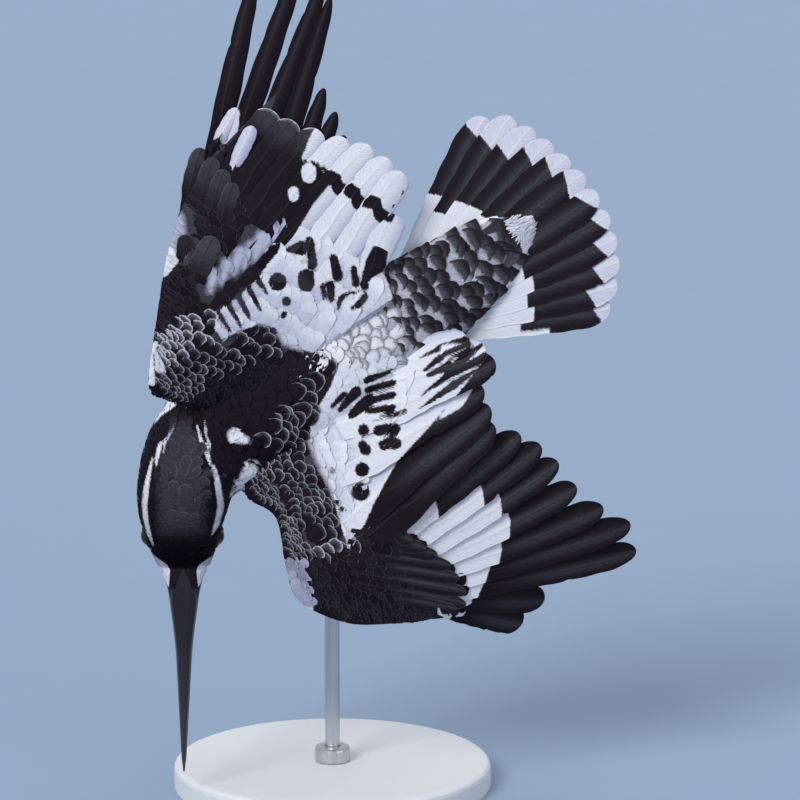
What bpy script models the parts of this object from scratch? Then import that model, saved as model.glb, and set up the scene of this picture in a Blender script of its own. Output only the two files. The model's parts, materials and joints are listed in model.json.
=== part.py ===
"""A pied kingfisher (Ceryle rudis) in a twisting dive, life size, held by a rod on a flat base.

The bird is modelled in its own frame, in millimetres: +X forward along the back, +Y to its left,
+Z out of its back. The empty "dive_pose" turns that frame into the dive. World units are metres, +Z up.
"""

import math

import bmesh
import bpy
import numpy as np
from mathutils import Matrix, Vector

MM = 0.001
CUT = 0.3  # gap left between neighbouring pieces
CUTTER_GROWTH = 0.45  # how far the body's cutter stands proud of it: the gap, plus its facets' sag

# Pose: the back faces a level viewer tipped down by BACK_TILT, the body points down to the left.
HEADING = math.radians(212.0)
BACK_TILT = math.radians(12.0)
BIRD_ORIGIN = (-10.3, -9.0, 140.5)  # in the world, above the middle of the base

# The trunk and head are one tube of oval rings along the spine. Each station is
# (forward, left, up, half width, height above the spine, depth below it).
SPINE = {
    "covert_tip": (-89.0, -4.8, 7.0, 5.0, 1.3, 1.3),
    "covert_end": (-84.0, -4.4, 7.2, 9.5, 2.2, 2.0),
    "long_coverts": (-72.0, -3.3, 7.5, 13.5, 3.6, 3.6),
    "tail_root": (-52.0, -1.6, 7.0, 17.0, 7.0, 8.0),
    "rump": (-34.0, 0.0, 5.0, 19.5, 11.5, 14.0),
    "loin": (-15.0, 0.0, 2.0, 22.5, 17.0, 20.0),
    "belly": (3.0, 0.0, 0.0, 24.0, 20.0, 23.5),
    "breast": (20.0, -1.0, -1.0, 23.5, 20.5, 23.5),
    "neck_root": (31.5, 0.5, 0.0, 22.4, 18.5, 20.0),
    "neck": (41.1, 2.3, 1.0, 18.9, 16.6, 17.0),
    "nape": (49.2, 7.3, 1.5, 16.3, 16.2, 15.0),
    "ear": (55.2, 14.5, 1.5, 14.8, 15.0, 13.5),
    "eye": (59.9, 22.3, 1.0, 12.3, 12.4, 11.4),
    "lores": (63.0, 27.5, 0.4, 10.0, 9.0, 9.2),
    "bill_root": (65.3, 31.3, 0.0, 8.2, 6.4, 6.6),
}
RING_POINTS = 22
RING_SQUARENESS = 2.2  # superellipse power of each ring
BODY_PIECES = {  # name: (from station, to station, rings)
    "tail_coverts": ("covert_tip", "tail_root", 8),
    "trunk": ("tail_root", "neck_root", 14),
    "neck": ("neck_root", "nape", 7),
    "head": ("nape", "bill_root", 11),
}

# Head
HEAD_TURN = math.radians(58.0)
HEAD_FORWARD = Vector((math.cos(HEAD_TURN), math.sin(HEAD_TURN), 0.0))
HEAD_LEFT = Vector((-math.sin(HEAD_TURN), math.cos(HEAD_TURN), 0.0))
UP = Vector((0.0, 0.0, 1.0))
BILL_ROOT = Vector((65.0, 31.0, 0.0))
BILL_LENGTH = 68.0
BILL_ROOT_FLARE = 2.9
BILL_CLEARANCE = 1.1  # from the root station to the horn, which keeps the gap all round
GAPE_GAP = 0.35
EYE_CENTRE = Vector((59.6, 21.7, 2.6))
EYE_SPREAD = 9.9  # from the head's middle plane to each eyeball's centre
EYE_RADIUS = 4.0

# Tail: twelve feathers fanned from one point
TAIL_ROOT = Vector((-33.0, 0.0, 7.0))
TAIL_COUNT = 12
TAIL_SIDE_SWING = math.radians(3.6)  # the tail is carried a little to the right
TAIL_SPREAD = math.radians(58.5)
TAIL_LENGTH = 84.6
TAIL_OUTER_SHORTENING = 9.0
TAIL_FEATHER_WIDTH = 12.5
TAIL_SHOWS_FROM = 0.42  # share of each feather's length that the coverts hide at the sides

# Wings. A chord is (front edge, rear edge of the coverts, thickness), each point (forward, left, up).
WING_CHORDS = {
    "left": [
        ((25.0, 8.0, 9.0), (-37.0, 6.0, 12.0), 12.0),
        ((35.0, 21.0, 10.0), (-31.0, 13.0, 13.0), 12.0),
        ((30.5, 33.0, 13.0), (-17.0, 23.0, 14.0), 10.5),
        ((36.0, 48.0, 14.0), (4.0, 40.0, 14.0), 9.0),
        ((38.5, 60.5, 13.0), (-4.0, 57.0, 11.0), 8.0),
        ((29.0, 75.5, 9.0), (-7.5, 71.0, 4.0), 6.5),
        ((15.0, 84.5, 3.0), (-10.5, 84.0, -3.0), 4.5),
        ((4.0, 89.5, -2.5), (-4.5, 92.0, -6.0), 2.6),
    ],
    "right": [
        ((24.0, -5.0, 14.0), (-42.0, -7.0, 18.0), 11.0),
        ((34.0, -12.0, 19.0), (-43.5, -17.0, 17.0), 11.0),
        ((40.0, -18.5, 24.0), (-38.0, -30.0, 20.0), 10.5),
        ((42.5, -25.5, 28.0), (-30.0, -44.0, 23.0), 9.5),
        ((30.0, -41.0, 30.0), (-21.0, -55.0, 26.0), 8.0),
        ((15.0, -58.0, 30.0), (-17.0, -67.5, 27.0), 6.0),
        ((2.0, -69.0, 29.0), (-19.5, -76.5, 26.5), 4.4),
        ((-8.5, -75.0, 28.0), (-17.0, -79.5, 26.5), 2.6),
    ],
}
CHORD_POINTS = 9  # along each face of a section
ARM_RINGS = 12
HAND_RINGS = 9
WRIST_CHORD = {"left": 3.55, "right": 3.1}  # where the arm ends and the hand starts, in chords
REAR_EDGE = 1.0  # thickness of the coverts' rear edge
FEATHER_THICKNESS = 0.7
FAN_CLEARANCE = 0.1  # between free neighbouring feathers of one fan

# Flight feathers: base line on the coverts' rear edge, in chords, and each feather's tip and width.
PRIMARY_TIPS = {
    "left": [
        (-47.0, 46.5, 3.0), (-53.5, 52.5, 1.0), (-57.5, 59.5, -1.5), (-59.5, 67.5, -4.5),
        (-60.5, 78.0, -9.0), (-64.5, 89.0, -15.0), (-69.5, 99.0, -21.0), (-66.5, 108.0, -27.0),
        (-31.5, 105.5, -26.0), (-21.0, 108.5, -29.0),
    ],
    "right": [
        (-56.5, -61.7, 18.5), (-58.2, -69.7, 19.0), (-59.0, -78.4, 19.5), (-76.8, -102.9, 18.5),
        (-80.6, -110.8, 18.0), (-81.7, -123.8, 18.0), (-59.7, -122.6, 18.0),
    ],
}
SECONDARY_TIPS = {
    "left": [
        (-55.0, 17.5, 13.5), (-58.5, 22.5, 12.5), (-59.0, 27.5, 11.5), (-51.0, 33.0, 10.0),
        (-49.5, 39.5, 8.5), (-47.5, 45.0, 7.0),
    ],
    "right": [
        (-56.5, -31.0, 18.0), (-66.0, -41.0, 19.0), (-64.5, -47.0, 20.0),
        (-61.5, -54.0, 21.0), (-56.0, -60.0, 22.0), (-50.0, -67.0, 23.0), (-44.5, -74.0, 24.0),
        (-40.5, -80.5, 24.5),
    ],
}
PRIMARY_BASES = {
    "left": (3.75, 4.1, 4.45, 4.8, 5.15, 5.5, 5.85, 6.2, 6.55, 6.9),
    "right": (3.1, 3.25, 3.5, 3.95, 4.6, 5.4, 6.8),
}
SECONDARY_BASES = {
    "left": (0.75, 1.3, 1.85, 2.4, 2.95, 3.5),
    "right": (1.35, 2.0, 2.55, 3.1, 3.6, 4.15, 4.65, 5.2),
}
PRIMARY_WIDTH = {"left": 9.6, "right": 7.6}
PRIMARY_SLIMMING = {"left": 0.0, "right": 0.45}  # share of the width lost towards the tip
SECONDARY_WIDTH = {"left": 11.0, "right": 10.0}
PRIMARY_LIFT = (-0.7, -0.7)
SECONDARY_LIFT = {"left": (0.6, 0.9), "right": (0.8, 1.8)}  # over the outer feathers
FEATHER_SHARES = (0.0, 0.2, 0.4, 0.58, 0.73, 0.86, 0.95, 1.0)

# Legs, tucked back under the vent
LEG_PATH = ((-17.0, 8.5, -12.0), (-23.5, 8.5, -16.5), (-33.0, 8.0, -13.0))
LEG_RADII = (2.6, 1.9, 1.25)
TOE_LENGTHS = {"inner": 9.0, "middle": 14.0, "outer": 12.5, "hind": 6.5}
TOE_SPLAY = {"inner": 0.36, "middle": 0.04, "outer": -0.20, "hind": 0.0}
TOE_RADIUS = 0.95
TOE_RINGS = 6
PALM_RADIUS = 1.5

# Display stand
BASE_RADIUS = 54.0
BASE_HEIGHT = 8.0
ROD_RADIUS = 2.5
COLLAR_RADIUS = 6.0
COLLAR_HEIGHT = 5.0
RIM_ROUNDING = {"base": 2.0, "collar": 1.2}
ROD_TOP = 146.0


def clear_scene():
    for obj in list(bpy.data.objects):
        bpy.data.objects.remove(obj)


def material(name, colour, roughness, metallic=0.0):
    made = bpy.data.materials.new(name)
    made.use_nodes = True
    shader = made.node_tree.nodes["Principled BSDF"]
    shader.inputs["Base Color"].default_value = (*colour, 1.0)
    shader.inputs["Roughness"].default_value = roughness
    shader.inputs["Metallic"].default_value = metallic
    return made


def along(rows, place):
    """Catmull-Rom value at a place, counted in rows, between the rows of a table of numbers."""
    rows = np.asarray(rows, float)
    place = min(max(place, 0.0), len(rows) - 1.0)
    i = min(int(place), len(rows) - 2)
    u = place - i
    before, first, second, after = (
        rows[max(i - 1, 0)], rows[i], rows[i + 1], rows[min(i + 2, len(rows) - 1)],
    )
    return 0.5 * (
        2 * first
        + (second - before) * u
        + (2 * before - 5 * first + 4 * second - after) * u**2
        + (3 * first - before - 3 * second + after) * u**3
    )


def add_object(name, mesh, finish, parent=None, smooth_below=math.radians(50)):
    if smooth_below:
        mesh.shade_smooth()
        mesh.set_sharp_from_angle(angle=smooth_below)
    obj = bpy.data.objects.new(name, mesh)
    bpy.context.scene.collection.objects.link(obj)
    if finish:
        mesh.materials.append(finish)
    obj.parent = parent
    return obj


def lofted(name, rings):
    """Closed mesh through rings of equal length, with a flat face on each end."""
    mesh = bpy.data.meshes.new(name)
    bm = bmesh.new()
    loops = [[bm.verts.new(Vector(p) * MM) for p in ring] for ring in rings]
    for near, far in zip(loops, loops[1:]):
        for i in range(len(near)):
            j = (i + 1) % len(near)
            bm.faces.new((near[i], near[j], far[j], far[i]))
    bm.faces.new(loops[0][::-1])
    bm.faces.new(loops[-1])
    bmesh.ops.recalc_face_normals(bm, faces=bm.faces)
    bm.to_mesh(mesh)
    bm.free()
    return mesh


def helper(obj):
    obj.hide_render = True
    obj.display_type = "WIRE"
    return obj


def boolean(obj, other, operation):
    modifier = obj.modifiers.new(f"{operation.lower()}_{other.name}", "BOOLEAN")
    modifier.operation = operation
    modifier.solver = "EXACT"
    modifier.object = other
    return obj


# Trunk, neck and head


def spine_ring(place, grow=0.0, shift=0.0):
    """Oval ring across the spine at a place counted in stations, grown and shifted along it."""
    rows = list(SPINE.values())
    x, y, z, wide, high, deep = along(rows, place)
    step = along(rows, place + 0.05)[:3] - along(rows, place - 0.05)[:3]
    tangent = Vector(step).normalized()
    side = UP.cross(tangent).normalized()
    upward = tangent.cross(side)
    centre = Vector((x, y, z)) + tangent * shift
    ring = []
    for k in range(RING_POINTS):
        angle = 2 * math.pi * k / RING_POINTS
        c, s = math.cos(angle), math.sin(angle)
        power = 2 / RING_SQUARENESS
        across = math.copysign(abs(c) ** power, c) * (wide + grow)
        rise = math.copysign(abs(s) ** power, s) * ((high if s > 0 else deep) + grow)
        ring.append(centre + side * across + upward * rise)
    return ring


def station(name):
    return list(SPINE).index(name)


def body_piece(name, start, end, rings, finish, parent):
    """One length of the body, short by half a gap at each end, so that its end faces stay parallel."""
    places = np.linspace(station(start), station(end), rings)
    shifts = [CUT / 2] + [0.0] * (rings - 2) + [-CUT / 2]
    loops = [spine_ring(place, shift=shift) for place, shift in zip(places, shifts)]
    return add_object(name, lofted(name, loops), finish, parent)


def body_cutter(parent):
    """The whole body, one gap fatter, which cuts what grows from it."""
    last = len(SPINE) - 1
    rings = [spine_ring(place, CUTTER_GROWTH) for place in np.linspace(0, last, 38)]
    return helper(add_object("body_cutter", lofted("body_cutter", rings), None, parent))


def make_body(parent, finishes):
    pieces = {}
    for name, (start, end, rings) in BODY_PIECES.items():
        pieces[name] = body_piece(name, start, end, rings, finishes[name], parent)
    return pieces


def make_eyes(parent, head, finish):
    for side, sign in (("left", 1), ("right", -1)):
        centre = EYE_CENTRE + HEAD_LEFT * (sign * EYE_SPREAD)
        eye = sphere(f"eye_{side}", centre, EYE_RADIUS, 14, 9)
        add_object(f"eye_{side}", eye, finish, parent)
        socket = sphere(f"socket_{side}", centre, EYE_RADIUS + CUT, 14, 9)
        boolean(head, helper(add_object(f"socket_{side}", socket, None, parent)), "DIFFERENCE")


def sphere(name, centre, radius, columns, rows):
    mesh = bpy.data.meshes.new(name)
    bm = bmesh.new()
    bmesh.ops.create_uvsphere(bm, u_segments=columns, v_segments=rows, radius=radius * MM)
    bmesh.ops.translate(bm, verts=bm.verts, vec=Vector(centre) * MM)
    bm.to_mesh(mesh)
    bm.free()
    return mesh


def bill_half_width(s):
    """Half the bill's width at a distance from its root: a long wedge with a flare at the gape."""
    return 0.5 + 4.6 * (1 - s / BILL_LENGTH) + BILL_ROOT_FLARE * math.exp(-s / 5.0)


def bill_height(s, root):
    """Height of one mandible at a distance from its root."""
    return 0.35 + (root - 0.35) * (1 - s / BILL_LENGTH) ** 0.85


def bill_ring(s, sign, root):
    """Section of one mandible: flat along the gape, roofed to a soft ridge on the far side."""
    centre = BILL_ROOT + HEAD_FORWARD * s
    half = bill_half_width(s)
    height = bill_height(s, root)
    outline = [(1.0, 0.0), (0.93, 0.42), (0.66, 0.76), (0.28, 0.97), (0.0, 1.03)]
    outline += [(-x, z) for x, z in outline[-2::-1]]
    ring = []
    for x, z in outline:
        ring.append(centre + HEAD_LEFT * (x * half) + UP * (sign * (z * height + GAPE_GAP / 2)))
    return ring


def make_bill(parent, finish):
    for name, sign, root, reach in (("bill_upper", 1, 6.0, 1.0), ("bill_lower", -1, 5.6, 0.985)):
        run = BILL_LENGTH * reach - BILL_CLEARANCE
        places = BILL_CLEARANCE + run * np.linspace(0, 1, 11) ** 1.15
        mesh = lofted(name, [bill_ring(s, sign, root) for s in places])
        add_object(name, mesh, finish, parent)


# Wings


def wing_section(side, place, grow=0.0):
    """Closed aerofoil section at a place counted in chords, from the root outwards."""
    rows = [(*front, *rear, thick) for front, rear, thick in WING_CHORDS[side]]
    numbers = along(rows, place)
    front, rear, thick = Vector(numbers[:3]), Vector(numbers[3:6]), numbers[6]
    chord = rear - front
    steps = [(1 - math.cos(math.pi * k / (CHORD_POINTS - 1))) / 2 for k in range(CHORD_POINTS)]
    upper, lower = [], []
    for x in steps:
        swell = 1.9 * math.sqrt(x) * (1 - x) * 0.62
        edge = REAR_EDGE / 2 * math.sqrt(x)
        middle = front + chord * x
        upper.append(middle + UP * (swell * thick * 0.62 + edge + grow))
        lower.append(middle - UP * (swell * thick * 0.42 + edge + grow))
    return upper[::-1] + lower[1:]


def wing_part(name, side, start, end, rings, finish, parent):
    places = np.linspace(start, end, rings)
    return add_object(name, lofted(name, [wing_section(side, p) for p in places]), finish, parent)


def wing_cutter(side, parent):
    """The covered part of a wing, one gap larger all round, which trims the feathers behind it."""
    rings = []
    for place in np.linspace(0, len(WING_CHORDS[side]) - 1, 24):
        ring = wing_section(side, place, CUT)
        middle = sum(ring, Vector()) / len(ring)
        rings.append([p + (p - middle).normalized() * (0.8 * CUT) for p in ring])
    name = f"wing_{side}_cutter"
    return helper(add_object(name, lofted(name, rings), None, parent))


def rear_edge(side, place):
    rows = [rear for _, rear, _ in WING_CHORDS[side]]
    return Vector(along(rows, place))


def blade_width(share, width, slimming):
    """Width of a flight feather at a share of its length: even or slimming, with a round tip."""
    rounding = max(share - 0.7, 0.0) / 0.3
    body = 0.88 + 0.12 * min(share / 0.5, 1.0) - slimming * max(share - 0.35, 0.0) / 0.65
    return width * body * math.sqrt(1 - 0.975 * rounding**3.4)


def feather_fan(name, bases, tips, width, finish, parent, lift=(0.0, 0.0), slimming=0.0):
    """A fan of flight feathers in one sheet: webbed where they overlap, free beyond that.

    The lift raises it, by its first value at the bases and by its second beyond the first station.
    """
    bm = bmesh.new()
    count = len(tips)
    stations = len(FEATHER_SHARES)
    widths = [blade_width(share, width, slimming) for share in FEATHER_SHARES]
    rises = [lift[0]] + [lift[1]] * (stations - 1)
    axes = [
        [base.lerp(tip, share) + UP * rise for share, rise in zip(FEATHER_SHARES, rises)]
        for base, tip in zip(bases, tips)
    ]

    def edge(i, k, sign):
        across = UP.cross(tips[i] - bases[i]).normalized()
        return axes[i][k] + across * (sign * widths[k] / 2)

    def apart(i, first):
        """True where feathers i and i + 1 stand clear of each other from a station on."""
        for own, other in ((i, i + 1), (i + 1, i)):
            start, run = axes[other][1], axes[other][-1] - axes[other][0]
            for k in range(first, stations):
                share = (axes[own][k] - start).dot(run) / run.length_squared + FEATHER_SHARES[1]
                share = min(max(share, 0.0), 1.0)
                beside = start + run * (share - FEATHER_SHARES[1])
                reach = (widths[k] + blade_width(share, width, slimming)) / 2
                if (axes[own][k] - beside).length < reach + FAN_CLEARANCE:
                    return False
        return True

    split = []
    for i in range(count - 1):
        k = 1
        while k + 1 < stations - 1 and not apart(i, k + 1):
            k += 1
        split.append(k)
    outward = 1 if UP.cross(tips[0] - bases[0]).dot(bases[-1] - bases[0]) > 0 else -1
    shared = [
        [bm.verts.new((axes[i][k] + axes[i + 1][k]) / 2 * MM) for k in range(split[i] + 1)]
        for i in range(count - 1)
    ]
    for i in range(count):
        spine = [bm.verts.new(point * MM) for point in axes[i]]
        near = shared[i - 1] if i else []
        far = shared[i] if i < count - 1 else []
        sides = []
        for own, sign in ((near, -outward), (far, outward)):
            sides.append(list(own) + [
                bm.verts.new(edge(i, k, sign) * MM) for k in range(len(own), stations)
            ])
        for k in range(stations - 1):
            bm.faces.new((sides[0][k], sides[0][k + 1], spine[k + 1], spine[k]))
            bm.faces.new((spine[k], spine[k + 1], sides[1][k + 1], sides[1][k]))
    bmesh.ops.recalc_face_normals(bm, faces=bm.faces)
    mesh = bpy.data.meshes.new(name)
    bm.to_mesh(mesh)
    bm.free()
    fan = add_object(name, mesh, finish, parent, smooth_below=None)
    thicken = fan.modifiers.new("thickness", "SOLIDIFY")
    thicken.thickness = FEATHER_THICKNESS * MM
    thicken.offset = 0.0
    return fan


def flight_feathers(side, kind, places, tips, width, lift, slimming, finish, parent, cutter):
    """Feathers whose bases stand along the coverts' rear edge and are trimmed just clear of it."""
    tips = [Vector(tip) for tip in tips]
    bases = [rear_edge(side, place) for place in places]
    name = f"wing_{side}_{kind}"
    fan = feather_fan(name, bases, tips, width, finish, parent, lift, slimming)
    return boolean(fan, cutter, "DIFFERENCE")


def make_wing(side, parent, cutter, finishes):
    wrist = WRIST_CHORD[side]
    last = len(WING_CHORDS[side]) - 1
    arm = wing_part(f"wing_{side}_arm", side, 0.0, wrist, ARM_RINGS, finishes["arm"], parent)
    boolean(arm, cutter, "DIFFERENCE")
    gap = 0.03
    wing_part(f"wing_{side}_hand", side, wrist + gap, last, HAND_RINGS, finishes["hand"], parent)
    trimmer = wing_cutter(side, parent)
    flight_feathers(side, "primaries", PRIMARY_BASES[side], PRIMARY_TIPS[side], PRIMARY_WIDTH[side],
                    PRIMARY_LIFT, PRIMARY_SLIMMING[side], finishes["primaries"], parent, trimmer)
    inner = flight_feathers(side, "secondaries", SECONDARY_BASES[side], SECONDARY_TIPS[side],
                            SECONDARY_WIDTH[side], SECONDARY_LIFT[side], 0.0,
                            finishes["secondaries"], parent, trimmer)
    boolean(inner, cutter, "DIFFERENCE")


# Tail and legs


def make_tail(parent, cutter, finish):
    bases, tips = [], []
    for i in range(TAIL_COUNT):
        share = 2 * i / (TAIL_COUNT - 1) - 1
        angle = math.pi + TAIL_SIDE_SWING + share * TAIL_SPREAD / 2
        way = Vector((math.cos(angle), math.sin(angle), 0.0))
        reach = TAIL_LENGTH - TAIL_OUTER_SHORTENING * abs(share) ** 2.5
        bow = -3.0 * abs(share) ** 2  # the fan droops a little at its sides
        bases.append(TAIL_ROOT + way * (TAIL_LENGTH * TAIL_SHOWS_FROM * 0.55) + UP * bow * 0.4)
        tips.append(TAIL_ROOT + way * reach + UP * bow)
    tail = feather_fan("tail", bases, tips, TAIL_FEATHER_WIDTH, finish, parent)
    boolean(tail, cutter, "DIFFERENCE")


def tube(name, path, radii, sides=8):
    """Tapered round tube along a short path of points."""
    rings = []
    for i, point in enumerate(path):
        ahead = path[min(i + 1, len(path) - 1)] - path[max(i - 1, 0)]
        across = ahead.cross(UP).normalized()
        upward = across.cross(ahead).normalized()
        rings.append([
            point
            + across * (radii[i] * math.cos(2 * math.pi * k / sides))
            + upward * (radii[i] * math.sin(2 * math.pi * k / sides))
            for k in range(sides)
        ])
    return lofted(name, rings)


def make_leg(side, sign, parent, cutter, finish):
    mirror = Vector((1.0, sign, 1.0))
    path = [Vector(p) * mirror for p in LEG_PATH]
    smooth = [Vector(along([tuple(p) for p in path], s)) for s in np.linspace(0, 2, 8)]
    radii = [float(along([(r,) for r in LEG_RADII], s)[0]) for s in np.linspace(0, 2, 8)]
    leg = add_object(f"leg_{side}", tube(f"leg_{side}", smooth, radii), finish, parent)
    boolean(leg, cutter, "DIFFERENCE")
    ankle = path[-1]
    back = (path[-1] - path[-2]).normalized()
    palm_centre = ankle + back * (PALM_RADIUS + 2 * CUT + 1.2)
    foot = None
    for toe, length in TOE_LENGTHS.items():
        swing = TOE_SPLAY[toe] * sign
        way = Vector((-math.cos(swing), math.sin(swing), 0.30))
        if toe == "hind":
            way = Vector((0.25, 0.12 * sign, -0.9))
        way.normalize()
        points = []
        for k in range(TOE_RINGS):
            share = k / (TOE_RINGS - 1)
            curl = -UP * (1.9 * share**2.2) if toe != "hind" else UP * 0.4
            points.append(palm_centre + way * (share * length) + curl)
        thickness = [TOE_RADIUS * (1 - 0.07 * k) for k in range(TOE_RINGS - 1)] + [0.22]
        piece = tube(f"toe_{toe}_{side}", points, thickness, 6)
        if foot is None:
            foot = add_object(f"foot_{side}", piece, finish, parent)
            palm = sphere(f"palm_{side}", palm_centre, PALM_RADIUS, 8, 5)
            boolean(foot, helper(add_object(f"palm_{side}", palm, None, parent)), "UNION")
        else:
            cast = helper(add_object(f"toe_{toe}_{side}", piece, None, parent))
            boolean(foot, cast, "UNION")


# Stand


def cylinder(name, radius, low, high, sides, edge=0.0):
    """Upright cylinder; with an edge, its top rim is rounded."""
    profile = [(radius, low), (radius, high - edge)]
    if edge:
        for k in range(1, 4):
            turn = math.pi / 2 * k / 3
            profile.append((radius - edge + edge * math.cos(turn), high - edge + edge * math.sin(turn)))
    else:
        profile.append((radius, high))
    rings = []
    for r, z in profile:
        rings.append([
            Vector((r * math.cos(2 * math.pi * k / sides), r * math.sin(2 * math.pi * k / sides), z))
            for k in range(sides)
        ])
    if not edge:
        rings = rings[:1] + rings[-1:]
    return lofted(name, rings)


def make_stand(cutter, base_finish, rod_finish):
    base = cylinder("stand_base", BASE_RADIUS, 0.0, BASE_HEIGHT, 48, RIM_ROUNDING["base"])
    add_object("stand_base", base, base_finish, smooth_below=math.radians(30))
    foot = BASE_HEIGHT + CUT
    top = foot + COLLAR_HEIGHT
    ring = cylinder("stand_collar", COLLAR_RADIUS, foot, top, 20, RIM_ROUNDING["collar"])
    collar = add_object("stand_collar", ring, rod_finish, smooth_below=math.radians(30))
    bore = cylinder("collar_bore", ROD_RADIUS + CUT, 0.0, 2 * top, 20)
    boolean(collar, helper(add_object("collar_bore", bore, None)), "DIFFERENCE")
    rod = add_object("stand_rod", cylinder("stand_rod", ROD_RADIUS, foot, ROD_TOP, 20), rod_finish)
    boolean(rod, cutter, "DIFFERENCE")


def dive_pose():
    """The empty that carries the bird: turned to its heading, then stood up with its back out."""
    turn = Matrix.Rotation(math.pi / 2 - BACK_TILT, 4, "X") @ Matrix.Rotation(HEADING, 4, "Z")
    empty = bpy.data.objects.new("dive_pose", None)
    bpy.context.scene.collection.objects.link(empty)
    empty.matrix_world = Matrix.Translation(Vector(BIRD_ORIGIN) * MM) @ turn
    return empty


def main():
    clear_scene()
    black = (0.025, 0.018, 0.028)
    white = (0.72, 0.74, 0.80)
    grey = (0.33, 0.35, 0.40)
    plumage_black = material("plumage_black", black, 0.6)
    plumage_white = material("plumage_white", white, 0.75)
    plumage_grey = material("plumage_grey", grey, 0.7)
    horn = material("bill_horn", (0.012, 0.010, 0.014), 0.28)
    eye_gloss = material("eye_gloss", (0.01, 0.007, 0.006), 0.05)
    leg_skin = material("leg_skin", (0.03, 0.03, 0.035), 0.5)
    base_paint = material("base_paint", (0.62, 0.62, 0.60), 0.45)
    steel = material("rod_steel", (0.55, 0.55, 0.56), 0.3, 1.0)

    pose = dive_pose()
    cutter = body_cutter(pose)
    body = make_body(pose, {
        "tail_coverts": plumage_grey, "trunk": plumage_grey, "neck": plumage_black,
        "head": plumage_black,
    })
    make_eyes(pose, body["head"], eye_gloss)
    make_bill(pose, horn)
    for side in ("left", "right"):
        make_wing(side, pose, cutter, {
            "arm": plumage_white, "hand": plumage_black,
            "primaries": plumage_black, "secondaries": plumage_white,
        })
    make_tail(pose, cutter, plumage_white)
    for side, sign in (("left", 1), ("right", -1)):
        make_leg(side, sign, pose, cutter, leg_skin)
    make_stand(cutter, base_paint, steel)


main()
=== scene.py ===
"""A pied kingfisher (Ceryle rudis) in a twisting dive, in skin and feathers, on its display stand.

The bird frame is the part's own: millimetres, +X forward along the back, +Y to the bird's left,
+Z out of its back. A place on the body is (station along the spine, angle round it), and a place on
a wing is (chord, depth), where the depth runs from 0 at the leading edge to 1 at the rear edge of
the coverts, over the top, and to -1 underneath.
"""

import json
import math
from functools import partial
from types import SimpleNamespace

import bmesh
import bpy
import numpy as np
from mathutils import Matrix, Vector
from mathutils.bvhtree import BVHTree

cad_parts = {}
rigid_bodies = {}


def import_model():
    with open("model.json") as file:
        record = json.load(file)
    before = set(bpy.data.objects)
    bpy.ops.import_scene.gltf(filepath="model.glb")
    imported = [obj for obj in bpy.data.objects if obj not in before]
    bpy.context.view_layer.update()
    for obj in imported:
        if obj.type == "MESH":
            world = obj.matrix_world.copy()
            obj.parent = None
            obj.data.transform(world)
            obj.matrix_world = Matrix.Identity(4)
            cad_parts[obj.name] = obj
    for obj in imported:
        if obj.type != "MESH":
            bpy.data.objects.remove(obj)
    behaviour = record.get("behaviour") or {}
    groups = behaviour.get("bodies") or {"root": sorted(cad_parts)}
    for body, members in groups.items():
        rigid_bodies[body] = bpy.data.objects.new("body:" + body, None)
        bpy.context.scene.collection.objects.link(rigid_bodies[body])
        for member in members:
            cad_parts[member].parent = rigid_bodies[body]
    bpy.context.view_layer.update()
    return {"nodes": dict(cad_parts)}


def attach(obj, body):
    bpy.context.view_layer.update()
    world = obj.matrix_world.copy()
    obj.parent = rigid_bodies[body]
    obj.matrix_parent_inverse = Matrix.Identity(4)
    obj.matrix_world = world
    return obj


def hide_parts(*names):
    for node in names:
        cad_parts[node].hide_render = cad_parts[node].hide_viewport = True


MM = 0.001

# Pose and shape, as in the part
HEADING = math.radians(212.0)
BACK_TILT = math.radians(12.0)
BIRD_ORIGIN = (-10.3, -9.0, 140.5)
SPINE = (  # forward, left, up, half width, height above, depth below
    (-89.0, -4.8, 7.0, 5.0, 1.3, 1.3),
    (-84.0, -4.4, 7.2, 9.5, 2.2, 2.0),
    (-72.0, -3.3, 7.5, 13.5, 3.6, 3.6),
    (-52.0, -1.6, 7.0, 17.0, 7.0, 8.0),
    (-34.0, 0.0, 5.0, 19.5, 11.5, 14.0),
    (-15.0, 0.0, 2.0, 22.5, 17.0, 20.0),
    (3.0, 0.0, 0.0, 24.0, 20.0, 23.5),
    (20.0, -1.0, -1.0, 23.5, 20.5, 23.5),
    (31.5, 0.5, 0.0, 22.4, 18.5, 20.0),
    (41.1, 2.3, 1.0, 18.9, 16.6, 17.0),
    (49.2, 7.3, 1.5, 16.3, 16.2, 15.0),
    (55.2, 14.5, 1.5, 14.8, 15.0, 13.5),
    (59.9, 22.3, 1.0, 12.3, 12.4, 11.4),
    (63.0, 27.5, 0.4, 10.0, 9.0, 9.2),
    (65.3, 31.3, 0.0, 8.2, 6.4, 6.6),
)
RING_SQUARENESS = 2.2

HEAD_TURN = math.radians(58.0)
HEAD_FORWARD = np.array((math.cos(HEAD_TURN), math.sin(HEAD_TURN), 0.0))
HEAD_LEFT = np.array((-math.sin(HEAD_TURN), math.cos(HEAD_TURN), 0.0))
UP = np.array((0.0, 0.0, 1.0))
BILL_ROOT = np.array((65.0, 31.0, 0.0))
BILL_LENGTH = 68.0
BILL_ROOT_FLARE = 2.9
BILL_CLEARANCE = 1.1
GAPE_GAP = 0.35
UPPER_HEIGHT, LOWER_HEIGHT = 6.0, 5.6  # of the bill's halves at the root
EYE_CENTRE = np.array((59.6, 21.7, 2.6))
EYE_SPREAD = 9.9
EYE_RADIUS = 4.0

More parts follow.
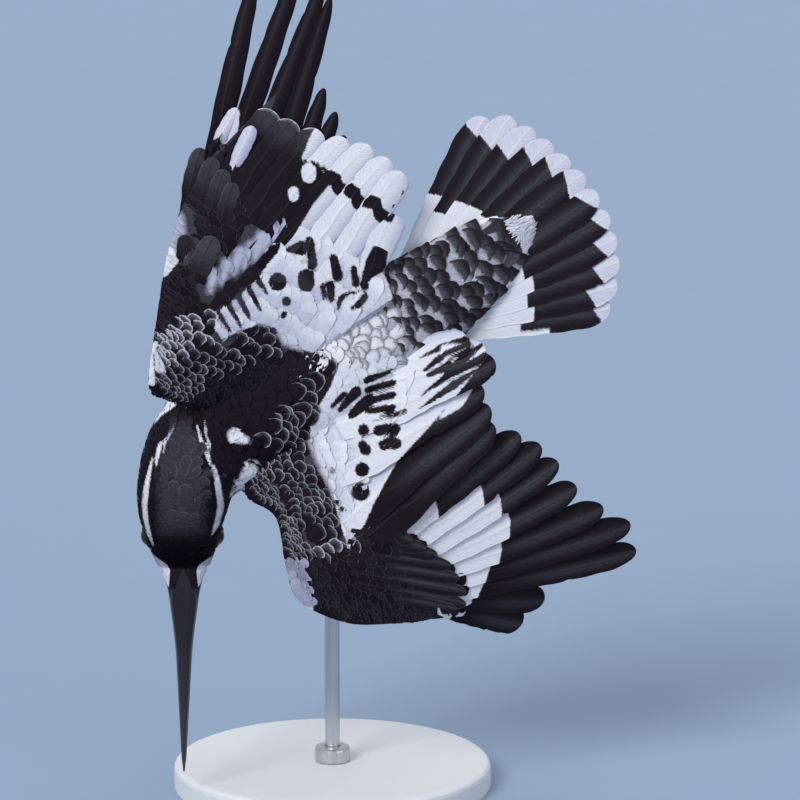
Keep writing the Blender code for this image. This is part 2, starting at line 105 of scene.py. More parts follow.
TAIL_ROOT = np.array((-33.0, 0.0, 7.0))
TAIL_COUNT = 12
TAIL_SIDE_SWING = math.radians(3.6)
TAIL_SPREAD = math.radians(58.5)
TAIL_LENGTH = 84.6
TAIL_OUTER_SHORTENING = 9.0
TAIL_FEATHER_WIDTH = 12.5
TAIL_COVERED = 20.0  # the coverts hide the feathers up to this far from their root

WING_CHORDS = {  # front edge, rear edge of the coverts, thickness
    "left": (
        (25.0, 8.0, 9.0, -37.0, 6.0, 12.0, 12.0),
        (35.0, 21.0, 10.0, -31.0, 13.0, 13.0, 12.0),
        (30.5, 33.0, 13.0, -17.0, 23.0, 14.0, 10.5),
        (36.0, 48.0, 14.0, 4.0, 40.0, 14.0, 9.0),
        (38.5, 60.5, 13.0, -4.0, 57.0, 11.0, 8.0),
        (29.0, 75.5, 9.0, -7.5, 71.0, 4.0, 6.5),
        (15.0, 84.5, 3.0, -10.5, 84.0, -3.0, 4.5),
        (4.0, 89.5, -2.5, -4.5, 92.0, -6.0, 2.6),
    ),
    "right": (
        (24.0, -5.0, 14.0, -42.0, -7.0, 18.0, 11.0),
        (34.0, -12.0, 19.0, -43.5, -17.0, 17.0, 11.0),
        (40.0, -18.5, 24.0, -38.0, -30.0, 20.0, 10.5),
        (42.5, -25.5, 28.0, -30.0, -44.0, 23.0, 9.5),
        (30.0, -41.0, 30.0, -21.0, -55.0, 26.0, 8.0),
        (15.0, -58.0, 30.0, -17.0, -67.5, 27.0, 6.0),
        (2.0, -69.0, 29.0, -19.5, -76.5, 26.5, 4.4),
        (-8.5, -75.0, 28.0, -17.0, -79.5, 26.5, 2.6),
    ),
}
REAR_EDGE = 1.0
PRIMARY_TIPS = {
    "left": (
        (-47.0, 46.5, 3.0), (-53.5, 52.5, 1.0), (-57.5, 59.5, -1.5), (-59.5, 67.5, -4.5),
        (-60.5, 78.0, -9.0), (-64.5, 89.0, -15.0), (-69.5, 99.0, -21.0), (-66.5, 108.0, -27.0),
        (-31.5, 105.5, -26.0), (-21.0, 108.5, -29.0),
    ),
    "right": (
        (-56.5, -61.7, 18.5), (-58.2, -69.7, 19.0), (-59.0, -78.4, 19.5), (-76.8, -102.9, 18.5),
        (-80.6, -110.8, 18.0), (-81.7, -123.8, 18.0), (-59.7, -122.6, 18.0),
    ),
}
SECONDARY_TIPS = {
    "left": (
        (-55.0, 17.5, 13.5), (-58.5, 22.5, 12.5), (-59.0, 27.5, 11.5), (-51.0, 33.0, 10.0),
        (-49.5, 39.5, 8.5), (-47.5, 45.0, 7.0),
    ),
    "right": (
        (-56.5, -31.0, 18.0), (-66.0, -41.0, 19.0), (-64.5, -47.0, 20.0),
        (-61.5, -54.0, 21.0), (-56.0, -60.0, 22.0), (-50.0, -67.0, 23.0), (-44.5, -74.0, 24.0),
        (-40.5, -80.5, 24.5),
    ),
}
PRIMARY_BASES = {
    "left": (3.75, 4.1, 4.45, 4.8, 5.15, 5.5, 5.85, 6.2, 6.55, 6.9),
    "right": (3.1, 3.25, 3.5, 3.95, 4.6, 5.4, 6.8),
}
SECONDARY_BASES = {
    "left": (0.75, 1.3, 1.85, 2.5, 3.3, 3.75),
    "right": (1.35, 2.0, 2.55, 3.1, 3.6, 4.15, 4.65, 5.2),
}
PRIMARY_WIDTH = {"left": 9.6, "right": 7.6}
PRIMARY_SLIMMING = {"left": 0.0, "right": 0.45}
SECONDARY_WIDTH = {"left": 11.0, "right": 10.0}
LEG_PATH = ((-17.0, 8.5, -12.0), (-23.5, 8.5, -16.5), (-33.0, 8.0, -13.0))
LEG_RADII = (2.6, 1.9, 1.25)
TOE_LENGTHS = {"inner": 9.0, "middle": 14.0, "outer": 12.5, "hind": 6.5}
TOE_SPLAY = {"inner": 0.36, "middle": 0.04, "outer": -0.20, "hind": 0.0}
TOE_RADIUS = 0.95
PALM_REACH = 3.3  # from the ankle to the middle of the palm
CLAW_START = 0.77  # share of a toe's length at which its claw begins

# Skin and coat
COAT_DEPTH = 1.05  # the skin lies this far inside the solids
THIN_SHARE = 0.3  # and at most this share of the thickness inside thin places
FLESH_SWELL = 0.35  # the flesh is swollen by this much, so that its pieces fuse
FLESH_REACH = 50.0  # a ray through the flesh is followed this far
VOXEL = 0.8  # of the mesh that fuses them
BARB_SLANT = 1.1  # how far a barb runs towards the tip for each millimetre outwards
SEED_SHIFT = 60.0  # feathers lie this far apart in the noise that streaks them
PATCH = 0.0015  # half size of one small feather on the map
BURIED_IN_WING, BURIED_IN_BODY = 2.0, 1.2  # no feather starts deeper than this in other solids
EYE_CLEARANCE = 3.9  # no feather starts this near to the middle of an eye
LEAF_ROOT, LEAF_TIP = -1.1, 1.2  # heights of a leaf-shaped covert's ends over the solids
HEAD_STATION = 9.0  # the head's coat begins at this station of the spine
HEAD_REACH = -38.0  # the head's markings end this far ahead of the bill's root
SURE = 3.0  # ink is cut off here: black at +SURE, white at -SURE

# Colours, scene linear
BLACK = (0.0068, 0.0030, 0.0076)
# SLATE: painted grey sheen on black feathers, besides random tone and the crown's own slate
SLATE = (0.052, 0.053, 0.064)
WHITE = (0.76, 0.77, 0.81)
# LAVENDER: painted shade on white feathers, and their tone that differs at random
LAVENDER = (0.42, 0.43, 0.58)
DEEP_LAVENDER = (0.50, 0.51, 0.61)
PALE_BASE = (0.46, 0.47, 0.55)
HORN = (0.007, 0.005, 0.008)
LEG_SKIN = (0.012, 0.012, 0.014), (0.045, 0.042, 0.046)
LID_SKIN = (0.006, 0.005, 0.006), (0.016, 0.013, 0.016)
BACKDROP = (0.86, 0.90, 0.97)


# Small numeric tools


def along(rows, place):
    """Catmull-Rom values at places counted in rows; past the ends they run on straight."""
    rows = np.asarray(rows, float)
    place = np.asarray(place, float)
    last = len(rows) - 1
    held = np.clip(place, 0.0, last)
    i = np.minimum(held.astype(int), last - 1)
    u = (held - i)[..., None]
    before, first = rows[np.maximum(i - 1, 0)], rows[i]
    second, after = rows[i + 1], rows[np.minimum(i + 2, last)]
    value = 0.5 * (
        2 * first
        + (second - before) * u
        + (2 * before - 5 * first + 4 * second - after) * u**2
        + (3 * first - before - 3 * second + after) * u**3
    )
    slope = np.where((place < 0)[..., None], rows[1] - rows[0], rows[-1] - rows[-2])
    return value + slope * (place - held)[..., None]


def unit(v):
    return v / np.maximum(np.linalg.norm(v, axis=-1, keepdims=True), 1e-9)


def dot(a, b):
    return np.sum(a * b, axis=-1)


def smoothstep(low, high, x):
    t = np.clip((x - low) / (high - low), 0.0, 1.0)
    return t * t * (3 - 2 * t)


def mix(a, b, t):
    return a + (b - a) * t


def signed_power(x, power):
    return np.sign(x) * np.abs(x) ** power


def nearest(points, start, end):
    """Distance from plan points to the line between two places, and the share along it."""
    start, end = np.asarray(start, float), np.asarray(end, float)
    run = end - start
    share = np.clip(((points - start) @ run) / max(run @ run, 1e-9), 0.0, 1.0)
    return np.linalg.norm(points - (start + share[..., None] * run), axis=-1), share


def to_line(points, corners, radii):
    """Distance from plan points to a round-ended stroke through corners, negative inside it."""
    radii = np.broadcast_to(radii, len(corners))
    gaps = []
    for start, end, *ends in zip(corners, corners[1:], radii, radii[1:]):
        gap, share = nearest(points, start, end)
        gaps.append(gap - mix(*ends, share))
    return np.min(gaps, axis=0)


def beside_line(points, corners):
    """Signed distance to an open line of corners, positive on its left side as it runs."""
    best = np.full(points.shape[:-1], 1e9)
    side = np.ones(points.shape[:-1])
    for a, b in zip(corners, corners[1:]):
        gap, _ = nearest(points, a, b)
        closer = gap < best
        left = (b[0] - a[0]) * (points[..., 1] - a[1]) >= (b[1] - a[1]) * (points[..., 0] - a[0])
        best = np.where(closer, gap, best)
        side = np.where(closer, np.where(left, 1.0, -1.0), side)
    return best * side


def within(points, corners):
    """Distance from plan points to a closed outline, positive inside it."""
    best = np.full(points.shape[:-1], 1e9)
    inside = np.zeros(points.shape[:-1], bool)
    for a, b in zip(corners, corners[1:] + corners[:1]):
        best = np.minimum(best, nearest(points, a, b)[0])
        spans = (a[1] > points[..., 1]) != (b[1] > points[..., 1])
        slope = (b[0] - a[0]) * (points[..., 1] - a[1]) / ((b[1] - a[1]) or 1e-9)
        inside ^= spans & (points[..., 0] < a[0] + slope)
    return np.where(inside, best, -best)


def pose_matrix():
    turn = Matrix.Rotation(math.pi / 2 - BACK_TILT, 4, "X") @ Matrix.Rotation(HEADING, 4, "Z")
    return Matrix.Translation(Vector(BIRD_ORIGIN) * MM) @ turn


POSE = np.array(pose_matrix())
TURN, SHIFT = POSE[:3, :3], POSE[:3, 3]


def to_world(points):
    return (np.asarray(points) * MM) @ TURN.T + SHIFT


def to_bird(points):
    return ((np.asarray(points) - SHIFT) @ TURN) / MM


# Surfaces that feathers grow on


class Surface:
    """A surface with two parameters; feathers step over it by its own local scale."""

    step = (0.02, 0.02)
    turned = 1.0

    def face_up(self, top):
        """Turns the normals so that they point up at a place on the upper side."""
        self.turned = 1.0 if self.normal(np.array([top]))[0, 2] > 0 else -1.0

    def slopes(self, q):
        out = []
        for axis in (0, 1):
            move = np.zeros(2)
            move[axis] = self.step[axis]
            out.append((self.point(q + move) - self.point(q - move)) / (2 * self.step[axis]))
        return out

    def normal(self, q):
        return unit(np.cross(*self.slopes(q))) * self.turned

    def walk(self, q, way):
        """The change of parameters that moves a point by way, measured along the surface."""
        a, b = self.slopes(q)
        aa, ab, bb = dot(a, a), dot(a, b), dot(b, b)
        wa, wb = dot(way, a), dot(way, b)
        scale = np.maximum(aa * bb - ab * ab, 1e-6)
        return np.stack(((wa * bb - wb * ab) / scale, (wb * aa - wa * ab) / scale), axis=-1)

    def comb(self, q, swing):
        """Unit ways in the surface: a feather's own, swung to one side, and the one across it."""
        normal = self.normal(q)
        way = self.flow(q)
        way = unit(way - normal * dot(way, normal)[..., None])
        sideways = np.cross(normal, way)
        way = way * np.cos(swing)[:, None] + sideways * np.sin(swing)[:, None]
        return way, np.cross(normal, way)


class Body(Surface):
    step = (0.03, 0.05)

    def __init__(self):
        self.face_up((6.0, math.pi / 2))

    def point(self, q):
        place, angle = q[..., 0], q[..., 1]
        rows = along(SPINE, place)
        tangent = unit(along(SPINE, place + 0.05)[..., :3] - along(SPINE, place - 0.05)[..., :3])
        side = unit(np.cross(UP, tangent))
        upward = np.cross(tangent, side)
        c, s = np.cos(angle), np.sin(angle)
        power = 2 / RING_SQUARENESS
        across = signed_power(c, power) * rows[..., 3]
        rise = signed_power(s, power) * np.where(s > 0, rows[..., 4], rows[..., 5])
        return rows[..., :3] + side * across[..., None] + upward * rise[..., None]

    def flow(self, q):
        return -self.slopes(q)[0]


def wing_lines(side, bases, tips):
    """(place on the wing, base, tip) of one set of its flight feathers."""
    return [
        (place, along(WING_CHORDS[side], np.array(place))[3:6], np.array(tip))
        for place, tip in zip(bases[side], tips[side])
    ]


class Wing(Surface):
    step = (0.03, 0.012)

    def __init__(self, side):
        self.rows = np.array(WING_CHORDS[side])
        lines = wing_lines(side, SECONDARY_BASES, SECONDARY_TIPS)
        lines = sorted(lines + wing_lines(side, PRIMARY_BASES, PRIMARY_TIPS), key=lambda l: l[0])
        self.places = np.array([place for place, _, _ in lines])
        self.ways = unit(np.array([tip - base for _, base, tip in lines]))
        self.face_up((2.0, 0.7))

    def point(self, q):
        rows = along(self.rows, q[..., 0])
        front, rear, thick = rows[..., :3], rows[..., 3:6], rows[..., 6]
        depth = q[..., 1]
        x = depth**2
        swell = 1.9 * np.abs(depth) * np.maximum(1 - x, 0.0) * 0.62
        edge = REAR_EDGE / 2 * np.minimum(np.abs(depth), 1.0)
        rise = swell * thick * np.where(depth > 0, 0.62, 0.42) + edge
        middle = front + (rear - front) * x[..., None]
        return middle + UP * (np.where(depth > 0, 1.0, -1.0) * rise)[..., None]

    def flow(self, q):
        rows = along(self.rows, q[..., 0])
        chord = unit(rows[..., 3:6] - rows[..., :3])
        fan = np.stack([np.interp(q[..., 0], self.places, way) for way in self.ways.T], axis=-1)
        share = smoothstep(0.1, 0.95, q[..., 1] ** 2)[..., None]
        return unit(mix(chord, unit(fan), share))


# Pieces


def add_object(name, data):
    obj = bpy.data.objects.new(name, data)
    bpy.context.scene.collection.objects.link(obj)
    return obj


def set_attributes(mesh, attributes):
    for key, values in attributes.items():
        kind, field = ("FLOAT_VECTOR", "vector") if values.ndim == 2 else ("FLOAT", "value")
        layer = mesh.attributes.new(key, kind, "POINT")
        layer.data.foreach_set(field, values.astype(np.float32).ravel())


def place_piece(obj, material, replaces=()):
    """Dresses an object with one material and fixes it to the part's one body."""
    obj.data.shade_smooth()
    obj.data.materials.clear()
    obj.data.materials.append(material)
    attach(obj, "root")
    if replaces:
        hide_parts(*replaces)
    return obj


class Coat:
    """Feather grids collected for one object."""

    def __init__(self):
        self.points, self.faces, self.uv, self.count = [], [], [], 0
        self.attributes = {}

    def add(self, points, faces, uv, **attributes):
        """A grid of points; attributes hold one value or vector for each of them."""
        self.faces.append(faces + self.count)
        self.points.append(points.reshape(-1, 3))
        self.uv.append(uv.reshape(-1, 2))
        size = len(self.points[-1])
        self.count += size
        for name, values in attributes.items():
            self.attributes.setdefault(name, []).append(
                values.reshape(-1, 3) if name == "barb" else values.reshape(size)
            )

    def piece(self, name, material, slot, replaces=()):
        points, faces = np.concatenate(self.points), np.concatenate(self.faces)
        mesh = bpy.data.meshes.new(name)
        mesh.vertices.add(len(points))
        mesh.vertices.foreach_set("co", to_world(points).astype(np.float32).ravel())
        mesh.loops.add(faces.size)
        mesh.loops.foreach_set("vertex_index", faces.astype(np.int32).ravel())
        mesh.polygons.add(len(faces))
        starts = np.arange(0, faces.size, faces.shape[1], dtype=np.int32)
        mesh.polygons.foreach_set("loop_start", starts)
        mesh.update(calc_edges=True)
        set_attributes(mesh, {key: np.concatenate(v) for key, v in self.attributes.items()})
        layer = mesh.uv_layers.new(name="OFBake")
        uv = np.concatenate(self.uv)[faces.ravel()]
        layer.data.foreach_set("uv", uv.astype(np.float32).ravel())
        return place_piece(add_object(name, mesh), material, replaces)


def grid_faces(count, rows, columns):
    index = np.arange(count * rows * columns).reshape(count, rows, columns)
    quads = np.stack(
        (index[:, :-1, :-1], index[:, 1:, :-1], index[:, 1:, 1:], index[:, :-1, 1:]), axis=-1
    )
    return quads.reshape(-1, 4)


# Small feathers


def vane_profile(t, root):
    """Width of a small feather along its length: narrow root, full middle, held to the tip."""
    return root + (1 - root) * np.sin(np.pi / 2 * np.clip(t / 0.55, 0, 1)) ** 0.8


def grow(coat, surface, roots, length, width, rng, dress, patch, *, rows, columns, heights,
         rounding, ragged, roll, swing, camber, root_width=0.45, bend=1.3):
    """Adds one feather at each root.

    heights: of its root and its tip over the surface. dress(vanes) gives the colour attributes, and
    patch(roots) the middle of each feather on the map.
    """
    count = len(roots)
    length = np.broadcast_to(length, count) * rng.uniform(0.92, 1.1, count)
    width = np.broadcast_to(width, count) * rng.uniform(0.93, 1.08, count)
    swings = rng.normal(0, swing, count)
    seeds = rng.random(count)
    frays = rng.uniform(-1, 1, (count, columns)) * ragged
    shares, across = np.linspace(0, 1, rows), np.linspace(-1, 1, columns)
    half = width[:, None] / 2 * vane_profile(shares, root_width)
    q = roots.copy()
    grid = np.zeros((count, rows, columns, 2))
    for k, share in enumerate(shares):
        if k:
            q = q + surface.walk(q, way * (length / (rows - 1))[:, None])
        way, sideways = surface.comb(q, swings)
        for j, s in enumerate(across):
            back = rounding * width / 2 * (1 - math.sqrt(1 - 0.92 * s * s)) * share**2.5
            back = back + frays[:, j] * length * share**3
            move = sideways * (half[:, k] * s)[:, None] - way * back[:, None]
            grid[:, k, j] = q + surface.walk(q, move)
    t, s, half = shares[None, :, None], across[None, None, :], half[..., None]
    length, width = spread(length), spread(width)
    low, high = heights
    height = low + (high * rng.uniform(0.75, 1.2, (count, 1, 1)) - low) * t**bend
    height = height - camber * width * s**2 * np.sin(np.pi * t * 0.8)
    height = height + roll * rng.normal(0, 1, (count, 1, 1)) * s
    normals = surface.normal(grid)
    points = surface.point(grid) + normals * height[..., None]
    vanes = SimpleNamespace(
        points=points, normals=normals, seeds=seeds, t=t, s=s, x=length * t * np.ones_like(s),
        y=half * s,
    )
    edge = np.minimum((1 - np.abs(s)) * half, (1 - t) * length)
    fill = lambda values: np.broadcast_to(values, edge.shape)
    seed = fill(spread(seeds))
    coat.add(
        points, grid_faces(count, rows, columns),
        patch(roots)[:, None, None, :] + np.stack((fill(s), fill(2 * t - 1)), axis=-1) * PATCH,
        edge=edge, seed=seed, barb=barb_places(vanes.x, vanes.y, seed),
        **{key: fill(value) for key, value in dress(vanes).items()},
    )


def barb_places(x, y, seed):
    """Places in the noise that streaks the vanes, drawn out along the barbs."""
    return np.stack((x - np.abs(y) * BARB_SLANT, y, seed * SEED_SHIFT), axis=-1)


def arc_roots(surface, line, spacing, offset):
    """Places at even steps of length along a line drawn in a surface's parameters."""
    points = surface.point(line)
    lengths = np.concatenate(([0.0], np.cumsum(np.linalg.norm(np.diff(points, axis=0), axis=1))))
    count = max(3, int(round(lengths[-1] / spacing)))
    marks = (np.arange(count) + offset % 1.0) * lengths[-1] / count
    return np.stack([np.interp(marks, lengths, line[:, k]) for k in (0, 1)], axis=-1)


def solid_tree(*nodes):
    """Search tree of CAD nodes, in the bird frame."""
    points, faces = [], []
    for node in nodes:
        start = len(points)
        points.extend(map(tuple, to_bird([v.co for v in node.data.vertices])))
        faces.extend([tuple(start + v for v in p.vertices) for p in node.data.polygons])
    return BVHTree.FromPolygons(points, faces)


def outside(tree, points, depth):
    """True for points that don't lie deeper than depth inside a solid."""
    keep = np.ones(len(points), bool)
    for i, point in enumerate(points):
        near, normal, _, gap = tree.find_nearest(Vector(point), 30.0)
        if near is not None and gap > depth and (Vector(point) - near).dot(normal) < 0:
            keep[i] = False
    return keep


# Markings, on the plan of the bird in millimetres. Ink is positive where the plumage is black.


def plan_of(points):
    return points[..., :2]


def limit(ink):
    return np.clip(ink, -SURE, SURE)


def stroke(plan, corners, radii):
    """Ink of one black stroke, through corners or at one place."""
    if np.ndim(corners[0]) == 0:
        corners = (corners, corners)
    return -to_line(plan, corners, radii)


def strokes(plan, marks):
    return np.max([stroke(plan, corners, radii) for corners, radii in marks], axis=0)


SUPERCILIUM = (  # white, from the eye back, for each side of the head
    (((50.9, 26.7), (48.2, 25.0), (43.4, 20.4), (39.7, 12.5), (37.9, 7.3)),
     (0.15, 0.75, 1.0, 0.9, 0.3)),
    (((39.3, 9.2), (37.7, 3.1), (37.3, -1.2), (35.6, -6.4)), (0.2, 0.7, 0.65, 0.15)),
    (((36.8, 3.0), (35.5, 1.4), (34.7, -2.2), (32.6, -6.4)), (0.1, 0.4, 0.4, 0.1)),
    (((69.4, 19.4), (68.6, 15.7), (66.7, 10.6), (64.7, 6.7), (60.7, 1.8), (57.0, -2.2),
      (53.9, -5.4)),
     (0.15, 0.7, 0.9, 0.95, 0.95, 0.6, 0.2)),
    (((54.4, -2.2), (52.0, -5.2), (49.6, -7.6), (45.9, -8.4)), (0.2, 0.75, 0.65, 0.15)),
    (((50.2, -4.4), (47.7, -7.4), (43.2, -9.8), (41.5, -11.0)), (0.1, 0.4, 0.35, 0.1)),
    (((58.5, -8.5), (52.0, -15.0), (45.0, -18.0), (35.3, -18.8)), (0.4, 1.4, 2.4, 2.6)),
)
LORES = (  # white wedge on each side, as (ahead, outward) of the bill's root
    (-4.8, 10.8), (-0.9, 5.2), (0.8, 4.4), (6.6, 4.9), (3.0, 6.9), (0.0, 9.4),
)
NAPE_WHITE = (
    (((26.7, 3.1), (24.6, 6.0)), (2.6, 2.2)),
    (((38.8, 19.2), (33.4, 17.6), (28.6, 15.4)), (0.3, 2.3, 3.1)),
)
MANTLE_EDGE = ((22.0, 12.7), (17.2, 4.7), (8.1, 1.4), (-3.5, -1.9), (-14.0, -2.5))
BREAST_BANDS = ((24.0, 6.0), (9.5, 2.2))  # middle and half width, forward, of the male's two
CHEEK_LEVEL, NECK_LEVEL = -3.4, -13.0


def head_frame(points):
    """Places ahead of and to the left of the bill's root."""
    gap = points - BILL_ROOT
    return dot(gap, HEAD_FORWARD), dot(gap, HEAD_LEFT)


def lore_ink(ahead, left):
    return within(np.stack((ahead, np.abs(left)), axis=-1), LORES)


def head_ink(points):
    plan = plan_of(points)
    ahead, left = head_frame(points)
    level = mix(CHEEK_LEVEL, NECK_LEVEL, smoothstep(-20.0, -33.0, ahead))
    white = np.maximum(strokes(plan, SUPERCILIUM), strokes(plan, NAPE_WHITE))
    white = np.maximum(white, 2.0 * lore_ink(ahead, left))
    return limit(np.minimum(-white, points[..., 2] - level))


def breast_ink(points):
    """Black bands across a white front."""
    ink = np.full(points.shape[:-1], -SURE)
    for middle, half in BREAST_BANDS:
        narrowing = 0.3 * half * np.exp(-(points[..., 1] / 6.0) ** 2)
        ink = np.maximum(ink, half - narrowing - np.abs(points[..., 0] - middle))
    return ink


# Colours of the small feathers. Each dress takes vanes: their points and normals, seeds (one for
# each feather), the shares t along and s across, and the millimetres x along and y across.


def spread(values):
    """One value for each feather, spread over its points; other values stay as they are."""
    return values[:, None, None] if np.ndim(values) == 1 else values


def pick(mask, a, b):
    return np.where(spread(mask), spread(a), spread(b))


def chances(seeds):
    """Two more numbers between 0 and 1 for each feather."""
    chance = (seeds * 7.31) % 1.0
    return chance, (chance * 5.7) % 1.0


def dress_of(vanes, ink, fringe, fringe_tone, tone, shade=0.0, soft=0.0):
    """Colour attributes from values for each feather or each point.

    Rims are widest at the tip and fade towards the base; shade darkens what the next one shelters.
    """
    rim = smoothstep(0.30, 0.75, vanes.t) * (1 - 0.45 * np.abs(vanes.s) ** 3)
    return {
        "ink": spread(ink), "fringe": spread(fringe) * rim, "fringe_tone": spread(fringe_tone),
        "tone": spread(tone) + spread(shade) * (1 - smoothstep(0.45, 0.85, vanes.t)),
        "soft": spread(soft),
    }


def shown(points):
    """The middle of each feather's uncovered part."""
    return points[:, int(0.72 * points.shape[1]), points.shape[2] // 2]


def body_dress(vanes):
    """Colours of the feathers of the head, neck, trunk and tail coverts."""
    at, up = shown(vanes.points), shown(vanes.normals)[:, 2]
    plan, spot = plan_of(at), plan_of(vanes.points)
    f, l = plan.T
    chance, other = chances(vanes.seeds)
    ahead, left = head_frame(at)
    on_head = ahead > HEAD_REACH
    ink = pick((f > 20) | on_head, head_ink(vanes.points), SURE)
    near_patch = strokes(plan, NAPE_WHITE) > -2.5
    ink = pick(near_patch & (chance < 0.9), ink + spread(1.5 * vanes.seeds) - 0.4, ink)
    # crown: slate middle, black border and mask
    half = mix(9.6, 4.5, smoothstep(-30.0, -48.0, ahead))
    crown = (1 - smoothstep(0.62, 1.0, np.abs(left) / half)) * smoothstep(-9.0, -14.0, ahead)
    crown = crown * smoothstep(-55.0, -42.0, ahead) * (up > 0)
    tone = 0.05 + 0.80 * crown
    fringe = 0.12 * crown * (chance > 0.75)
    # the mantle's left half and its right edge carry thin pale rims
    left_scales = (-beside_line(plan, MANTLE_EDGE) > 0.8) & (f < 33) & (f > -16) & ~on_head
    scales = left_scales | (within(plan, RIGHT_SCALES) > 0)
    fringe = np.where(scales, 0.32 + 0.25 * chance, fringe)
    fringe_tone = np.where(scales, 0.36 + 0.30 * other, 0.10)
    # speckled change to the white scales of the lower back, whose grey edges are painted shade
    change = smoothstep(-2.0, -17.0, f + 0.15 * l + 2.0 * (chance - 0.5))
    speckled = (change > 0) & (change < 1) & ~left_scales
    grain = smoothstep(-1.0, -17.5, spot[..., 0] + 0.15 * spot[..., 1])
    dots = np.random.default_rng(5).normal(0, 1, grain.shape)
    ink = pick(speckled, 1.5 - 2.7 * grain + 0.95 * dots, ink)
    fringe = np.where(speckled, 0.5 * (change > 0.6), fringe)
    fringe_tone = np.where(speckled, 0.10, fringe_tone)
    white = (change >= 1) & ~left_scales
    covert = smoothstep(-27.0, -58.0, f - 0.2 * l)
    ink = pick(white, -SURE, ink)
    # the wide, dark, soft rims of the white feathers are painted shade between them, wider and
    # darker towards the tail coverts
    fringe = np.where(white, mix(1.15, 2.4, covert) + 0.5 * chance, fringe)
    fringe_tone = np.where(white, mix(0.20, 0.05, covert) + 0.10 * vanes.seeds, fringe_tone)
    tone = np.where(white, 0.05 + 0.30 * chance, tone)
    # rump and upper tail coverts: domes, black at the tip and paling towards the root
    side = np.where(covert > 0.6, -0.38, -0.15)
    dome = (covert > 0.14 + 0.34 * chance) & (up > side)
    tip_gap = vanes.x.max(axis=(1, 2), keepdims=True) - vanes.x + 0.12 * np.abs(vanes.y) ** 1.8
    fade = smoothstep(spread(mix(0.0, 1.0, covert)), spread(mix(0.7, 5.8, covert)), tip_gap)
    ink = pick(dome, SURE, ink)
    tone = pick(dome, 0.15 + 2.45 * fade, tone)
    # beside the left wing the white coverts start on the body
    beside = (within(plan, LEFT_WHITE) > 0.5) & (up > 0) & (f > -30) & ~on_head
    beside &= (f > -15) | (l > 1.8 - 0.19 * f)
    ink = pick(beside, left_ink(spot), ink)
    tone = pick(beside, 0.10 + 0.25 * chance, tone)
    # white below, with the male's two breast bands
    below = (up < side) & (f < 33) & ~on_head
    ink = pick(below, breast_ink(vanes.points), ink)
    tone = pick(below, 0.06 + 0.12 * chance, tone)
    fringe = np.where(dome | beside | below, 0.0, fringe)
    return dress_of(vanes, ink, fringe, fringe_tone, tone, soft=np.where(near_patch, 0.25, 0.0))


def wing_dress(vanes, front, ink, fringe, fringe_tone, tone, shade, soft):
    """The wing's colours above; below, apart from its front edge, it is plain white."""
    under = (shown(vanes.normals)[:, 2] < -0.2) & (not front)
    return dress_of(
        vanes, pick(under, -SURE, ink), np.where(under, 0.0, fringe), fringe_tone,
        np.where(under, 0.12 + 0.1 * vanes.seeds, tone), shade, soft,
    )


LEFT_WHITE = (  # outline of the white coverts and tertials
    (-15.7, 0.5), (-8.0, 6.5), (2.4, 11.4), (7.2, 18.0), (8.5, 24.9), (9.4, 35.1), (11.8, 43.0),
    (15.2, 55.4), (11.5, 51.6), (7.0, 51.0), (0.2, 46.3), (-14.0, 38.4), (-26.9, 34.9),
    (-38.0, 31.6), (-47.7, 28.4), (-75.0, 18.0), (-62.0, 0.0),
)
LEFT_HAND = (  # front of it lie the black feathers of the hand
    (60.0, 38.0), (40.0, 45.2), (31.8, 49.2), (25.9, 52.0), (16.9, 55.6), (8.0, 54.5), (0.0, 47.0),
    (-60.0, 47.0),
)
LEFT_FRONT = ((((-15.2, 33.0), (-10.3, 37.6)), (0.25, 0.7)),)
LEFT_WRIST = (  # outline of the white wrist, greyed with painted shade
    (37.0, 44.0), (33.6, 47.6), (29.8, 50.6), (31.0, 53.0), (34.8, 54.2), (32.4, 56.8),
    (33.9, 59.4), (36.4, 61.0), (34.4, 63.6), (35.6, 65.6), (40.6, 65.0), (44.7, 52.6),
    (41.0, 42.7),
)
LEFT_MARKS = (
    ((-2.7, 34.7), 2.5), ((1.5, 40.7), 3.1), (((5.3, 29.2), (5.8, 30.2)), 0.6),
    (((12.2, 39.8), (13.2, 41.0)), 1.0), ((9.8, 39.5), 0.9), (((9.9, 41.9), (9.2, 43.0)), 0.7),
    ((-10.1, 24.0), 1.9), (((-9.9, 21.7), (-11.6, 23.0)), 0.5),
    (((-7.2, 27.6), (-7.2, 29.9)), (1.4, 1.9)), (((-13.2, 31.7), (-16.6, 33.2)), (1.9, 2.0)),
    (((-14.0, 26.6), (-19.3, 29.1)), (1.7, 1.8)),
    (((-14.3, 19.2), (-22.2, 22.9)), (0.9, 1.3)), (((-15.9, 16.4), (-24.5, 19.3)), (1.1, 1.25)),
    (((-18.3, 13.4), (-26.8, 15.9)), (1.2, 1.15)), (((-19.7, 10.6), (-28.9, 12.4)), (1.2, 0.7)),
    (((-14.5, 23.6), (-24.8, 25.9)), (0.5, 1.0)),
    (((-5.5, 11.8), (-10.8, 10.6)), (0.7, 1.1)), (((-6.9, 14.2), (-14.8, 11.9)), (0.8, 1.9)),
    (((-9.4, 17.6), (-16.4, 16.5)), (1.4, 2.2)),
    (((-45.5, 13.5), (-55.2, 16.2)), (0.5, 0.9)), (((-38.5, 13.4), (-45.2, 14.4)), (0.3, 0.9)),
    (((-46.5, 16.8), (-54.8, 17.9)), (0.9, 1.0)), (((-46.0, 19.0), (-55.0, 19.6)), (0.4, 0.9)),
    (((-37.5, 17.9), (-44.5, 17.1)), (0.6, 1.2)), (((-37.7, 19.9), (-45.4, 20.9)), (0.7, 1.6)),
    (((-43.5, 22.4), (-51.0, 21.2), (-59.0, 20.6)), (1.0, 1.6, 0.4)),
    (((-31.0, 24.4), (-42.5, 23.4), (-55.0, 24.4), (-60.5, 23.3)), (0.2, 1.1, 1.4, 0.3)),
    (((-29.0, 27.6), (-43.1, 27.0), (-52.5, 26.6)), (0.2, 1.4, 0.4)),
)
